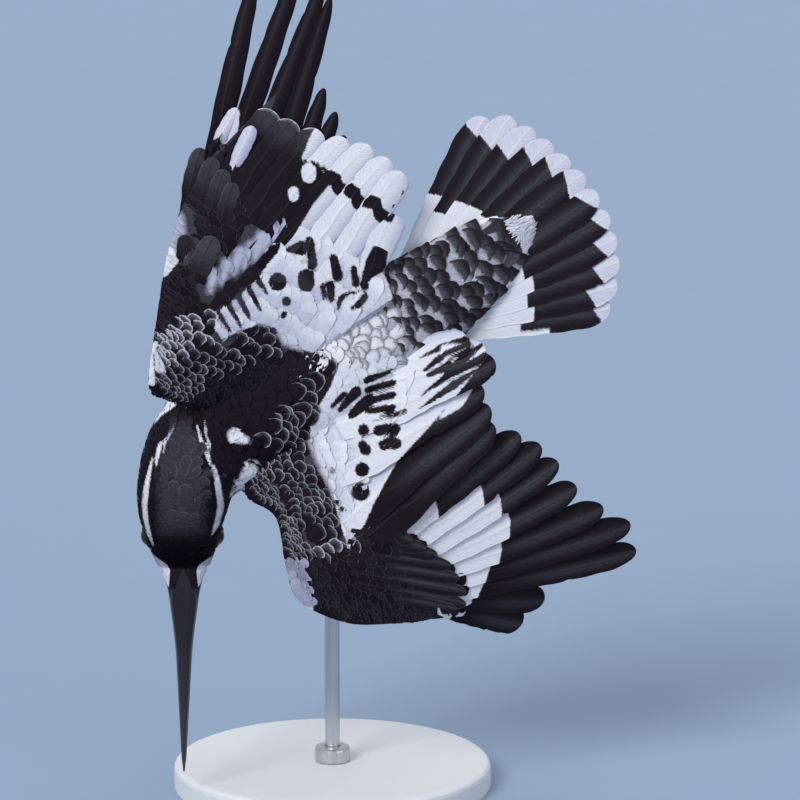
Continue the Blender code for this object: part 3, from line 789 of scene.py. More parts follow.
LEFT_LEAF = (((-33.5, 33.8), (-41.0, 32.6), (-47.2, 30.2)), (0.4, 1.9, 1.5))  # white, on a tertial
LEFT_CRESCENTS = (((24.4, 48.4), (18.9, 50.2), (13.5, 51.0)), (2.0, 3.0, 2.4))


def left_ink(plan):
    marked = np.maximum(-within(plan, LEFT_WHITE), strokes(plan, LEFT_MARKS))
    white = np.maximum(strokes(plan, LEFT_FRONT), within(plan, LEFT_WRIST))
    return limit(np.minimum(marked, -white))


def left_dress(vanes, front=False):
    plan = plan_of(shown(vanes.points))
    chance, other = chances(vanes.seeds)
    area = within(plan, LEFT_WHITE)
    dark = area < 0.4
    hand = beside_line(plan, LEFT_HAND) < 0
    crescents = (stroke(plan, *LEFT_CRESCENTS) > 0) & ~hand
    wrist = within(plan, LEFT_WRIST) > -1.0
    # the white wrist is greyed by half ink and a lavender tone: painted shade on the wing's front
    # edge
    ink = pick(wrist, 0.1 - 0.9 * chance, left_ink(plan_of(vanes.points)))
    zones = [wrist, crescents, hand, dark]
    fringe = np.select(zones, [0.0, 0.85, 0.11, 0.30 + 0.25 * chance], 0.0)
    fringe_tone = np.select(zones[1:], [0.62, 0.09, 0.26 + 0.26 * other], 0.70)
    shade = np.exp(-(np.maximum(area, 0) / 3.0) ** 2)
    tone = np.select([wrist, dark & hand, dark], [1.2, 0.25 * chance, 0.06],
                     0.06 + 0.45 * shade + 0.12 * chance)
    soft = np.where(wrist, 0.8, 0.75 * np.exp(-(area / 2.5) ** 2) * (plan[:, 1] < 36))
    return wing_dress(vanes, front, ink, fringe, fringe_tone, tone,
                      np.where(dark, 0.0, 0.50), soft)


RIGHT_WHITE = (  # outline of the white coverts and inner secondaries' bases
    (13.6, -30.1), (9.8, -34.2), (5.2, -34.9), (1.2, -34.6), (-2.6, -35.9), (-6.7, -36.2),
    (-11.6, -38.6), (-18.0, -40.6), (-21.0, -44.0), (-26.0, -45.2), (-35.3, -49.3), (-43.0, -51.5),
    (-60.0, -60.0), (-80.0, -20.0), (-50.0, -6.0), (-37.8, -9.5), (-28.9, -4.0), (-11.0, -5.0),
    (-3.0, -13.5), (-3.4, -20.0), (0.3, -23.9), (6.3, -25.0), (13.4, -26.0),
)
RIGHT_FLUFF = (  # white among the black
    (((8.2, -41.4), (4.4, -45.0)), (0.9, 2.0)), (((-1.4, -42.6), (-6.8, -46.4)), (1.2, 2.2)),
    (((-9.9, -43.0), (-15.6, -47.0)), (1.2, 2.4)), (((-18.2, -44.8), (-25.4, -47.6)), (1.6, 2.0)),
    (((3.4, -41.8), (-1.5, -45.8)), (1.0, 1.8)), (((-5.5, -42.2), (-11.0, -46.6)), (1.0, 1.8)),
    (((-13.9, -43.6), (-19.7, -47.8)), (1.0, 1.8)),
    (((5.0, -67.0), (10.0, -59.0), (17.8, -53.6)), (2.4, 3.6, 0.8)),
    (((32.4, -36.0), (37.2, -34.2), (40.2, -26.4)), (0.8, 2.0, 1.4)),
    (((33.8, -33.5), (35.4, -28.6)), (0.4, 1.6)),
)
RIGHT_MARKS = (
    ((-12.1, -32.3), 3.0), (((-20.8, -28.7), (-19.8, -26.9)), 2.8), ((-11.2, -25.4), 1.6),
    (((-8.4, -22.2), (-7.6, -21.8)), 1.0),
    (((-24.0, -23.6), (-22.3, -19.8)), (1.0, 0.7)), (((-26.2, -22.4), (-24.1, -18.4)), (1.5, 1.2)),
    (((-31.6, -29.2), (-29.8, -23.4)), (1.5, 1.8)), (((-35.5, -22.8), (-33.6, -18.4)), (1.2, 1.3)),
    (((-19.8, -39.8), (-24.2, -37.7)), (0.5, 2.5)), (((-28.0, -38.2), (-25.0, -31.2)), (1.5, 1.6)),
    (((-24.2, -14.2), (-26.5, -16.8), (-29.6, -16.9), (-32.8, -15.6)), (0.6, 0.9, 0.8, 0.4)),
    (((-27.1, -12.2), (-30.5, -11.9), (-34.0, -13.1)), (0.4, 1.2, 1.2)), ((-35.6, -16.2), 1.5),
    (((-50.4, -26.6), (-45.6, -23.0), (-42.6, -20.5), (-35.0, -17.4)), (0.8, 2.9, 3.6, 0.6)),
    (((9.9, -34.5), (9.6, -26.8)), (1.0, 0.6)), (((5.5, -35.0), (5.9, -26.5)), (1.1, 0.6)),
    (((1.4, -35.2), (1.9, -27.2)), (1.2, 0.7)), (((-2.9, -35.5), (-2.4, -27.5)), (1.1, 0.6)),
    (((-7.0, -36.5), (-7.0, -30.7)), (1.1, 0.6)),
)
RIGHT_SCALES = (  # outline of the pale-rimmed dark feathers of the shoulder and wrist
    (13.4, -28.0), (20.0, -35.0), (30.0, -38.1), (44.0, -34.0), (46.0, -16.0), (31.5, -14.5),
    (24.9, -17.5), (16.2, -13.6), (12.7, -15.3), (2.0, -11.9), (-4.9, -13.1), (-8.5, -18.9),
    (0.0, -24.5), (6.3, -25.5), (12.1, -25.6),
)
RIGHT_WRIST = (((33.0, -31.0), (24.0, -33.0), (14.0, -30.5)), (5.0, 5.5, 4.5))  # the widest rims
RIGHT_BLACK = (  # outline of the black outer secondaries, up to the white inner ones
    (-50.6, -69.6), (-45.2, -66.4), (-42.6, -64.3), (-39.6, -62.6), (-43.1, -59.5),
    (-45.4, -56.6), (-44.8, -52.6), (-43.0, -50.4), (-35.3, -47.8), (-26.0, -43.0), (0.0, -30.0),
    (0.0, -110.0), (-70.0, -110.0),
)
RIGHT_WINDOWS = (
    (((-39.9, -57.9), (-39.1, -56.5)), 2.4), (((-31.9, -54.6), (-31.3, -53.4)), 1.8),
    (((-44.0, -57.6), (-43.9, -55.4)), 0.35),
)
RIGHT_BAR = ((-42.4, -54.0), (-43.8, -51.7), (-45.6, -48.4), (-46.9, -44.8), (-48.6, -40.5),
             (-51.5, -37.5), (-52.6, -33.8), (-53.4, -31.6))
RIGHT_BAR_ENDS = ((((-57.8, -33.4), (-55.4, -30.6)), 0.7), (((-62.8, -35.6), (-60.6, -33.4)), 0.6))
RIGHT_LEAVES = (
    (((-31.0, -86.9), (-25.4, -82.6), (-17.6, -78.0)), (0.5, 2.4, 2.9)),
    (((-33.6, -80.4), (-27.4, -76.8), (-18.4, -70.8)), (0.4, 2.2, 3.6)),
)


def right_ink(plan):
    marked = np.maximum(-within(plan, RIGHT_WHITE), strokes(plan, RIGHT_MARKS))
    return limit(np.minimum(marked, -strokes(plan, RIGHT_FLUFF)))


def right_dress(vanes, front=False):
    plan = plan_of(shown(vanes.points))
    chance, other = chances(vanes.seeds)
    area = within(plan, RIGHT_WHITE)
    zones = [stroke(plan, *RIGHT_WRIST) > 0, area > 0, within(plan, RIGHT_SCALES) > 0]
    fluff = (strokes(plan, RIGHT_FLUFF) > -2.5) & (plan[:, 0] < 12)
    fringe = np.select(zones, [0.75, 0.0, 0.32 + 0.3 * chance], 0.14)
    fringe_tone = np.select(zones, [0.75, 0.70, 0.28 + 0.3 * other], 0.06)
    shade = np.exp(-(np.maximum(area, 0) / 2.5) ** 2)
    tone = np.select([fluff, *zones[1:]], [1.1, 0.06 + 0.45 * shade + 0.10 * chance, 0.08],
                     0.22 * chance)
    soft = np.where(fluff, 0.55, 0.75 * np.exp(-(area / 2.5) ** 2) * (plan[:, 1] > -24))
    return wing_dress(vanes, front, right_ink(plan_of(vanes.points)), fringe, fringe_tone, tone,
                      np.where(area > 0, 0.50, 0.0), soft)


# Coats of small feathers


BODY_SIZES = np.array((  # station, feather length, width
    (0.0, 12.0, 9.2), (1.8, 12.8, 9.4), (2.6, 11.5, 7.6), (3.3, 9.2, 6.0), (4.0, 8.0, 5.4),
    (5.0, 8.0, 5.4), (5.8, 10.0, 6.4), (7.2, 9.6, 6.2), (8.2, 7.6, 5.2), (9.0, 5.8, 4.0),
    (10.0, 4.4, 3.0), (11.0, 3.2, 2.2), (12.0, 2.3, 1.6), (13.0, 1.9, 1.35), (14.2, 1.5, 1.1),
))
HEAD_VANE = dict(
    rows=5, columns=5, heights=(-0.55, 0.12), rounding=0.9, ragged=0.09, roll=0.03, swing=0.12,
    camber=0.05,
)
TRUNK_VANE = dict(
    rows=10, columns=11, rounding=1.45, ragged=0.02, roll=0.03, swing=0.07, camber=0.05,
)
CROWN_VANE = dict(
    rows=16, columns=13, heights=(-0.2, 0.20), rounding=0.8, ragged=0.02, roll=0.0, swing=0.03,
    camber=0.03, root_width=0.7,
)
TUFT_BARB = dict(
    rows=8, columns=3, heights=(0.3, 1.9), rounding=1.0, ragged=0.0, roll=0.0, swing=0.32,
    camber=0.0, root_width=0.9, bend=1.0,
)
WING_VANE = dict(
    rows=9, columns=9, rounding=0.85, ragged=0.03, roll=0.03, swing=0.06, camber=0.045,
)
LORE_VANE = dict(
    rows=5, columns=5, heights=(-0.25, 0.16), rounding=1.2, ragged=0.1, roll=0.02, swing=0.08,
    camber=0.04, root_width=0.5,
)
CROWN_FEATHERS = (  # root, length and width of the crown's long feathers
    ((54.4, 16.7), 10.4, 4.4),
    ((57.2, 12.6), 10.0, 4.0),
    ((46.9, 12.8), 6.2, 4.2),
    ((47.1, 16.9), 4.6, 3.2),
    ((50.5, 17.2), 4.6, 2.4),
    ((57.3, 20.0), 5.2, 4.2),
    ((59.7, 16.9), 4.6, 3.4),
    ((51.0, 6.7), 9.2, 3.6),
    ((46.9, 6.5), 8.0, 3.4),
    ((46.0, 8.2), 4.6, 2.8),
    ((42.9, 1.9), 6.4, 3.4),
    ((44.6, -0.4), 7.0, 3.2),
    ((54.3, 21.5), 5.0, 3.0),
)
WING_ROWS = {  # depth, feather length, width, from the leading edge back
    "upper": (
        (0.10, 4.2, 3.2), (0.16, 4.4, 3.4), (0.22, 4.6, 3.6), (0.28, 4.8, 3.8), (0.34, 5.0, 4.0),
        (0.40, 5.4, 4.2), (0.46, 5.8, 4.4), (0.52, 6.2, 4.6), (0.58, 6.8, 4.9), (0.64, 7.6, 5.2),
        (0.70, 8.6, 5.6), (0.765, 10.0, 6.0), (0.83, 11.5, 6.4), (0.90, 11.5, 6.8),
    ),
    "lower": (
        (-0.05, 4.2, 3.4), (-0.14, 4.8, 3.8), (-0.24, 5.4, 4.2), (-0.34, 6.2, 4.8),
        (-0.45, 7.2, 5.4), (-0.56, 8.4, 6.0), (-0.68, 10.0, 6.6), (-0.80, 12.0, 7.2),
        (-0.90, 12.0, 7.4),
    ),
}


def body_rows():
    """(station, feather length, width) of each ring of feathers, from the bill to the tail."""
    places = np.linspace(0, len(SPINE) - 1, 400)
    gaps = np.linalg.norm(np.diff(along(SPINE, places)[:, :3], axis=0), axis=1)
    lengths = np.concatenate(([0.0], np.cumsum(gaps)))
    here = lengths[-1] - 0.25
    while here > 0.0:
        place = np.interp(here, lengths, places)
        length, width = (np.interp(place, BODY_SIZES[:, 0], BODY_SIZES[:, k]) for k in (1, 2))
        yield place, length, width
        here -= length * (0.42 if place < 8.3 or place > 11.5 else 0.30)


def body_patch(roots):
    turned = 0.96 * (roots[:, 1] / (2 * math.pi)) % 1.0
    return np.stack((0.02 + turned, 0.02 + 0.96 * roots[:, 0] / (len(SPINE) - 1)), axis=-1)


def make_body_coat(material, wings):
    body = Body()
    rng = np.random.default_rng(21)
    head, trunk = Coat(), Coat()
    eyes = [EYE_CENTRE + HEAD_LEFT * sign * EYE_SPREAD for sign in (1, -1)]
    turns = np.linspace(0, 2 * math.pi, 121)
    for number, (place, length, width) in enumerate(body_rows()):
        ring = np.stack((np.full(len(turns), place), turns), axis=-1)
        roots = arc_roots(body, ring, width * 0.72, 0.5 * (number % 2))
        roots += rng.normal(0, 1, roots.shape) * (0.006 * length, 0.10 * width / 20)
        points = body.point(roots)
        keep = outside(wings, points, BURIED_IN_WING)
        for eye in eyes:
            keep &= np.linalg.norm(points - eye, axis=1) > EYE_CLEARANCE
        roots = roots[keep]
        if not len(roots):
            continue
        if place > HEAD_STATION:
            grow(head, body, roots, length, width, rng, body_dress, body_patch, **HEAD_VANE)
        else:
            raised = (place < 2.6) & (body.normal(roots)[:, 2] > 0)
            heights = (-0.65, spread(np.where(raised, 0.85, 0.22)))
            grow(trunk, body, roots, length, width, rng, body_dress, body_patch, heights=heights,
                 **TRUNK_VANE)
    add_crown(head, body)
    add_tuft(trunk, body)
    head.piece("coat_head", material, "head_plumage")
    trunk.piece("coat_trunk", material, "body_plumage")


def add_crown(coat, body):
    """The large, faintly outlined feathers over the middle of the crown."""
    rng = np.random.default_rng(22)
    spots = np.meshgrid(np.linspace(9.0, 14.0, 260), np.linspace(0.05, math.pi - 0.05, 200))
    spots = np.stack([part.ravel() for part in spots], axis=-1)
    spots = spots[body.normal(spots)[:, 2] > 0.1]
    places = plan_of(body.point(spots))
    roots = np.array([
        spots[np.argmin(np.linalg.norm(places - np.array(root), axis=1))]
        for root, _, _ in CROWN_FEATHERS
    ])
    lengths, widths = np.array([sizes for _, *sizes in CROWN_FEATHERS]).T

    def dress(vanes):
        vanes.t = vanes.t * 0.4 + 0.6  # their rims run down to the root
        return dress_of(vanes, SURE, 0.30, 0.13, 0.78)

    grow(coat, body, roots, lengths, widths, rng, dress, body_patch, **CROWN_VANE)


def add_tuft(coat, body):
    """A spray of loose white barbs at the end of the upper tail coverts."""
    rng = np.random.default_rng(23)
    count = 240
    roots = np.stack((rng.uniform(0.35, 0.95, count), rng.uniform(0.50, 2.3, count)), axis=-1)
    lengths = rng.uniform(4.0, 8.0, count)
    dress = lambda vanes: dress_of(vanes, -SURE, 0.0, 0.0, 0.15 + 0.5 * vanes.seeds)
    grow(coat, body, roots, lengths, 0.26, rng, dress, body_patch, **TUFT_BARB)


def make_wing_coat(side, dress, material, body_tree):
    wing = Wing(side)
    rng = np.random.default_rng(31 if side == "left" else 32)
    end = len(WING_CHORDS[side]) - 1
    chords = np.linspace(0.25, end - 0.02, 90)

    def patch(roots):
        across = np.where(roots[:, 1] > 0, 0.03, 0.53) + 0.44 * roots[:, 0] / end
        return np.stack((across, 0.03 + 0.92 * np.abs(roots[:, 1])), axis=-1)

    coat = Coat()
    for rows in WING_ROWS.values():
        for number, (depth, length, width) in enumerate(rows):
            row = np.stack((chords, np.full(len(chords), depth)), axis=-1)
            roots = arc_roots(wing, row, width * 0.66, 0.5 * (number % 2))
            roots += rng.normal(0, 1, roots.shape) * (0.02, 0.006)
            roots = roots[outside(body_tree, wing.point(roots), BURIED_IN_BODY)]
            taper = mix(1.0, 0.55, smoothstep(end - 1.6, end, roots[:, 0]))
            if side == "left" and depth > 0.8:
                taper = taper * mix(1.30, 0.75, smoothstep(1.4, 2.6, roots[:, 0]))
            grow(coat, wing, roots, length * taper, width * taper, rng,
                 partial(dress, front=abs(depth) < 0.4), patch,
                 heights=(-0.6, 0.25 if abs(depth) < 0.8 else 0.35), **WING_VANE)
    coat.piece(f"coat_wing_{side}", material, "wing_plumage")


# Flight feathers


BLADE_STATIONS = 44
BLADE_COLUMNS = np.array(
    (-1.0, -0.84, -0.64, -0.42, -0.2, -0.07, 0.0, 0.07, 0.2, 0.42, 0.64, 0.84, 1.0)
)
BLADE_THICKNESS = 0.22
HIDDEN_ROOT = 9.0  # a flight feather starts this far inside the coat
DEEP_ROOT = 17.0  # most secondaries start deeper


def blade_width(share, width, slimming):
    """The part's own outline of a flight feather."""
    rounding = np.clip(np.maximum(share - 0.7, 0.0) / 0.3, 0, 1)
    slim = slimming * np.maximum(share - 0.35, 0.0) / 0.65
    body = 0.88 + 0.12 * np.minimum(share / 0.5, 1.0) - slim
    return width * body * np.sqrt(1 - 0.985 * rounding**3.4)


def blade_side(i, axes, way, outward):
    """Way across a blade at each of its stations: level, and leaning towards its neighbours."""
    level = np.cross(UP, way)
    if len(axes) == 1:
        return unit(level * np.ones((BLADE_STATIONS, 1)))
    sideways = (axes[min(i + 1, len(axes) - 1)] - axes[max(i - 1, 0)]) * outward
    sideways = sideways - way * dot(sideways, way)[:, None]
    level = level * np.sign(dot(sideways, level))[:, None]
    length = np.maximum(np.linalg.norm(sideways, axis=1), 1e-6)[:, None]
    return unit(sideways * 0.6 / length + unit(level) * 0.4)


def worn(y, own, width, rng):
    """Places across a blade with one or two notches in its edge, and a slight wave."""
    notch = np.ones_like(y)
    reach = np.abs(BLADE_COLUMNS)
    for _ in range(rng.integers(1, 3)):
        at, edge, depth = rng.uniform(0.45, 0.93), rng.choice((-1, 1)), rng.uniform(0.05, 0.14)
        dent = depth * np.exp(-((own - at) / 0.011) ** 2)
        notch = notch - dent[:, None] * (BLADE_COLUMNS * edge > 0.6) * (reach - 0.6) / 0.4
    wave = 0.012 * width * np.sin(own * rng.uniform(25, 40) + rng.uniform(0, 6))
    return y * notch + wave[:, None] * reach**3


def make_blades(coat, lines, width, outward, tilt, ink_of, rng, *, slimming=0.0, lift=0.0,
                hidden=HIDDEN_ROOT, shaft_side=0.25, base_spread=0.0, first=0, total=None):
    """Closed, cambered blades with a raised shaft, stacked so that inner ones lie over outer ones.

    lines: (base, tip) of each feather, in order; outward: +1 where the order runs outwards.
    ink_of(blade) gives ink and tone, and may add fringe and its tone. first and total: the blades'
    places among all those on one map.
    """
    shares = 1 - (1 - np.linspace(0, 1, BLADE_STATIONS)) ** 1.35
    columns, count = BLADE_COLUMNS, len(lines)
    bases, tips = np.array(lines).swapaxes(0, 1)
    lengths = np.linalg.norm(tips - bases, axis=1)
    starts = -np.broadcast_to(hidden, count) / lengths
    owns = starts[:, None] + (1 - starts)[:, None] * shares
    axes = bases[:, None] + (tips - bases)[:, None] * owns[..., None]
    strip = 1.0 / (total or count)
    for i, (way, length, start, own) in enumerate(zip(unit(tips - bases), lengths, starts, owns)):
        sideways = blade_side(i, axes, way, outward[i])
        above = unit(np.cross(way, sideways))
        turned = above[0, 2] < 0
        above = above * np.sign(above[:, 2:3])
        wide = blade_width(own, width, slimming)
        wide = wide * (1 + base_spread * (1 - smoothstep(0.0, 0.5, own)))
        wide = np.where(own < 0, wide * mix(1.0, 0.75, np.clip(own / start, 0, 1)), wide)[:, None]
        # the shaft stands nearer to the outer edge: both vanes are stretched to meet it there
        shaft = (shaft_side * smoothstep(0.0, 0.3, own))[:, None]
        u = columns * np.where(columns < 0, 1 + shaft, 1 - shaft) + shaft
        from_shaft = (u - shaft) * wide / 2
        y = worn(u * wide / 2, own, width, rng)
        held = np.clip(own, 0, 1)[:, None]
        ridge = 0.26 * mix(1.0, 0.3, held) * np.exp(-(from_shaft / 0.28) ** 2)
        bow = 1.2 * np.sin(np.pi * held) * (length / 60)
        z = -0.045 * from_shaft**2 / (width / 2) * 1.6 + tilt * y + bow + lift
        half = BLADE_THICKNESS / 2 * mix(1.0, 0.35, np.abs(columns) ** 2)
        middle = axes[i][:, None, :] + sideways[:, None, :] * y[..., None]
        blade = SimpleNamespace(
            number=i, plan=plan_of(middle), share=own[:, None] + 0 * y, across=u,
            x=own[:, None] * length + 0 * y, seed=rng.random(),
        )
        edge = np.minimum(np.abs(wide / 2) - np.abs(y), (1 - own[:, None]) * length * 1.2)
        ink, tone, *rim = ink_of(blade)
        fringe, fringe_tone = rim or (np.zeros_like(y), np.zeros_like(y))
        map_along = 0.02 + 0.96 * (own - start) / (1 - start)
        top, bottom = z + half + ridge, z - half - 0.6 * ridge
        for height, place, flip in ((top, 0.25, turned), (bottom, 0.75, not turned)):
            faces = grid_faces(1, *y.shape)
            map_across = (first + i + place) * strip + columns * 0.2 * strip
            coat.add(
                middle + above[:, None, :] * height[..., None],
                faces[:, ::-1] if flip else faces,
                np.stack((map_along[:, None] + 0 * y, map_across + 0 * y), axis=-1),
                edge=np.maximum(edge, 0.0), seed=blade.seed + 0 * y, ink=ink, fringe=fringe,
                fringe_tone=fringe_tone, tone=tone, shaft=np.abs(from_shaft),
                barb=barb_places(blade.x, from_shaft, blade.seed + 0 * y),
            )
        # a rim joins both faces
        index = np.arange(y.size).reshape(y.shape)
        over = np.concatenate((index[:, 0], index[-1, 1:], index[-2::-1, -1], index[0, -2:0:-1]))
        under, turn = over + y.size, np.roll(np.arange(len(over)), -1)
        sides = np.stack((over, under, under[turn], over[turn]), axis=-1)
        coat.faces.append(sides + coat.count - 2 * y.size)


def flight_tone(across, share, seed):
    """Grey sheen along the middle of a black feather, fading before its tip and base."""
    band = np.exp(-(((across - 0.25) / 0.34) ** 2))
    return 0.05 + 0.95 * band * smoothstep(0.12, 0.6, share) * (0.7 + 0.4 * seed)


def white_tone(across, seed):
    """Painted lavender shade along both edges of a white feather, most on its inner edge, with a
    little random tone in the middle.
    """
    inner, outer = smoothstep(0.05, -0.85, across), smoothstep(0.72, 1.0, across)
    middle = smoothstep(0.4, 0.1, np.abs(across - 0.4))
    return 0.06 + 0.62 * inner + 0.35 * outer + 0.15 * seed * middle


def black_or_white(ink, blade, black, lightness=0.0):
    """Ink and tone of a blade: the given tone where it is black, and painted lavender shade
    elsewhere.
    """
    return limit(ink), np.where(ink > 0, black, lightness + white_tone(blade.across, blade.seed))


def sheen(blade):
    return flight_tone(blade.across, blade.share, blade.seed)


LEFT_WHITE_REACH = (  # from each primary's base
    0.0, 13.0, 27.4, 29.2, 27.4, 19.4, 11.6, 7.5, 0.0, 0.0,
)


def left_primary_ink(blade):
    jag = 1.8 * blade.across + 0.8 * np.abs(blade.across) - 0.8 * blade.seed
    return black_or_white(blade.x - LEFT_WHITE_REACH[blade.number] + jag, blade, sheen(blade))


def left_secondary_ink(blade):
    ink = left_ink(blade.plan)
    if blade.number == 3:
        ink = np.minimum(ink, -stroke(blade.plan, *LEFT_LEAF))
    return black_or_white(ink, blade, sheen(blade))


def right_primary_ink(blade):
    return black_or_white(-strokes(blade.plan, RIGHT_LEAVES), blade, 0.45 * sheen(blade), 0.3)


def right_secondary_ink(blade):
    """The outermost are black with a pale rim round a tip lightened by painted brownish sheen; the
    others white with one bar.
    """
    plan, share, across = blade.plan, blade.share, blade.across
    black = within(plan, RIGHT_BLACK)
    if blade.number >= 6:
        black = np.maximum(black, 1.0)
    windows = -strokes(plan, RIGHT_WINDOWS)
    black = np.minimum(black, windows)
    if blade.number >= 5:
        # the tip is lightened towards slate by painted sheen, brightest along the middle
        tip_sheen = smoothstep(0.55, 0.95, share) * (1 - 0.4 * np.abs(across))
        ink, tone = black_or_white(black, blade, 0.12 + 1.1 * tip_sheen)
        return ink, tone, 0.55 * smoothstep(0.88, 0.95, share), 0.95 + 0 * share
    step = plan + (0.9 * np.sign(across) + 0.5)[..., None] * np.array((1.0, 0.0))
    ink = np.maximum(np.maximum(black, stroke(step, RIGHT_BAR, 2.3)), strokes(plan, RIGHT_BAR_ENDS))
    ink = ink - 3.0 * smoothstep(0.90, 1.0, np.abs(across)) * (black < 0)
    ink = np.maximum(ink, right_ink(plan) - 6.0 * (share > 0.3))
    return black_or_white(np.minimum(ink, windows), blade, 0.1)


TAIL_EXTRA = {8: 0.6, 9: 2.0, 10: 4.0, 11: 3.4}  # longer feathers of the right side
TAIL_BAND = (  # inner and outer reach of the black band on each tail feather
    (46.0, 70.0), (51.0, 68.5), (49.5, 72.5), (53.0, 76.0), (51.0, 79.0), (49.0, 79.5),
    (50.0, 77.5),
    (51.5, 76.5), (52.0, 74.5), (51.0, 70.5), (44.5, 70.5), (49.5, 72.0),
)


def tail_ink(blade):
    across = blade.across
    inner, outer = TAIL_BAND[blade.number]
    reach = np.linalg.norm(blade.plan - plan_of(TAIL_ROOT), axis=-1)
    ink = np.minimum(outer + 2.6 * across - reach, reach - inner + 1.2 * across)
    if blade.number == 0:
        ink = np.minimum(ink, np.maximum(reach - 55.0, 1.3 - 3.2 * np.abs(across - 0.35)))
    # the black carries a painted grey sheen along its middle
    black = 0.10 + 0.85 * np.exp(-(((across - 0.15) / 0.30) ** 2))
    pale = np.where(reach > outer, 0.50, 0.12) + 0.15 * np.abs(across)
    return limit(ink), np.where(ink > 0, black, pale)


def make_flight(side, material):
    rng = np.random.default_rng(41 if side == "left" else 42)
    inks = {
        "left": (left_primary_ink, left_secondary_ink),
        "right": (right_primary_ink, right_secondary_ink),
    }
    primaries, secondaries = (
        [line[1:] for line in wing_lines(side, bases, tips)]
        for bases, tips in ((PRIMARY_BASES, PRIMARY_TIPS), (SECONDARY_BASES, SECONDARY_TIPS))
    )
    deep = np.full(len(secondaries), DEEP_ROOT)
    deep[-2:] = HIDDEN_ROOT
    sets = {
        "primaries": (primaries, PRIMARY_WIDTH[side] * 1.04, dict(
            slimming=PRIMARY_SLIMMING[side], lift=-0.7)),
        "secondaries": (secondaries, SECONDARY_WIDTH[side] * 1.03, dict(
            lift=0.8, hidden=deep, base_spread=0.45 if side == "left" else 0.0)),
    }
    for (kind, (lines, width, form)), ink_of in zip(sets.items(), inks[side]):
        coat = Coat()
        make_blades(coat, lines, width, [1] * len(lines), 0.10, ink_of, rng, **form)
        coat.piece(f"feathers_{side}_{kind}", material, "flight_feathers",
                   replaces=(f"wing_{side}_{kind}",))


def make_tail(material):
    lines = []
    for i in range(TAIL_COUNT):
        share = 2 * i / (TAIL_COUNT - 1) - 1
        angle = math.pi + TAIL_SIDE_SWING + share * TAIL_SPREAD / 2
        way = np.array((math.cos(angle), math.sin(angle), 0.0))
        reach = TAIL_LENGTH - TAIL_OUTER_SHORTENING * abs(share) ** 2.5 + TAIL_EXTRA.get(i, 0.0)
        bow = -3.0 * share**2
        base = TAIL_ROOT + way * TAIL_COVERED + UP * (bow * 0.4 - 1.6)
        lines.append((base, TAIL_ROOT + way * reach + UP * bow))
    outward = [-1 if i < TAIL_COUNT / 2 else 1 for i in range(TAIL_COUNT)]
    coat = Coat()
    make_blades(coat, lines, TAIL_FEATHER_WIDTH * 1.02, outward, 0.07, tail_ink,
                np.random.default_rng(43), hidden=4.0, shaft_side=0.12)
    coat.piece("feathers_tail", material, "tail_plumage", replaces=("tail",))


# Leaf-shaped coverts


LEFT_COVERTS = (  # base, tip and width of the black primary coverts
    ((5.6, 51.4), (-4.1, 63.9), 4.8),
    ((9.7, 51.3), (-6.4, 68.4), 5.0),
    ((12.3, 53.6), (-8.7, 72.3), 5.2),
    ((14.9, 55.9), (-10.7, 77.8), 5.4),
    ((16.4, 58.9), (-10.7, 82.9), 5.4),
    ((16.9, 62.9), (-10.2, 88.1), 5.2),
    ((16.9, 67.3), (-8.0, 91.6), 5.0),
    ((16.0, 72.2), (-4.4, 91.4), 4.4),
)
RIGHT_COVERTS = (  # base, tip, width, ink and tone of the leaf-shaped feathers of the hand
    ((-15.2, -79.0), (-31.1, -87.5), 4.8, -3.0, 1.3),
    ((-16.8, -69.7), (-32.3, -79.6), 5.0, -3.0, 1.9),
    ((1.9, -67.8), (-14.3, -82.6), 6.4, 3.0, 0.95),
    ((0.8, -63.2), (-16.0, -77.6), 6.4, 3.0, 0.9),
    ((-1.0, -59.3), (-17.0, -72.3), 6.2, 3.0, 0.9),
    ((-2.9, -55.3), (-17.2, -67.1), 5.6, 3.0, 0.8),
    ((12.7, -50.8), (5.1, -61.0), 5.4, 3.0, 0.30),
    ((16.5, -43.4), (-2.4, -55.5), 7.6, 3.0, 1.15),
)


def lay(tree, base, tip):
    """Both ends of a feather that lies along the upper side of the solids under it."""
    found = []
    for share in np.linspace(0, 1, 9):
        spot = mix(np.array(base), np.array(tip), share)
        hit = tree.ray_cast(Vector((*spot, 90.0)), Vector((0.0, 0.0, -1.0)))[0]
        if hit is not None:
            found.append((share, hit.z))
    slope, level = np.polyfit(*zip(*found), 1)
    return np.array((*base, level + LEAF_ROOT)), np.array((*tip, level + slope + LEAF_TIP))


def make_coverts(side, leaves, nodes, material):
    """Long single feathers laid over the hand of a wing, each over the one before."""
    tree = solid_tree(*(nodes[f"wing_{side}_{k}"] for k in ("hand", "primaries", "secondaries")))
    rng = np.random.default_rng(44)
    coat = Coat()
    for number, (base, tip, width, *look) in enumerate(leaves):
        ink, tone = look or (SURE, 0.55)

        def ink_of(blade):
            share = blade.share
            if ink < 0:
                white = tone * white_tone(blade.across, blade.seed) + 0.2
                return ink + 0 * share, white, 0 * share, 0 * share
            shine = smoothstep(0.25, 0.9, share) if look else 1.9 * sheen(blade)
            rim = 0.24 * smoothstep(0.4, 0.8, share)
            return ink + 0 * share, 0.08 + tone * shine, rim, 0.12 + 0 * share

        make_blades(coat, [lay(tree, base, tip)], width, [1], 0.16, ink_of, rng,
                    hidden=2.0, shaft_side=0.1, base_spread=-0.5, first=number, total=len(leaves))
    coat.piece(f"coverts_{side}", material, "wing_plumage")


# Skin


SKIN_NODES = (
    "head", "neck", "trunk", "tail_coverts", "wing_left_arm", "wing_left_hand",
    "wing_right_arm", "wing_right_hand",
)


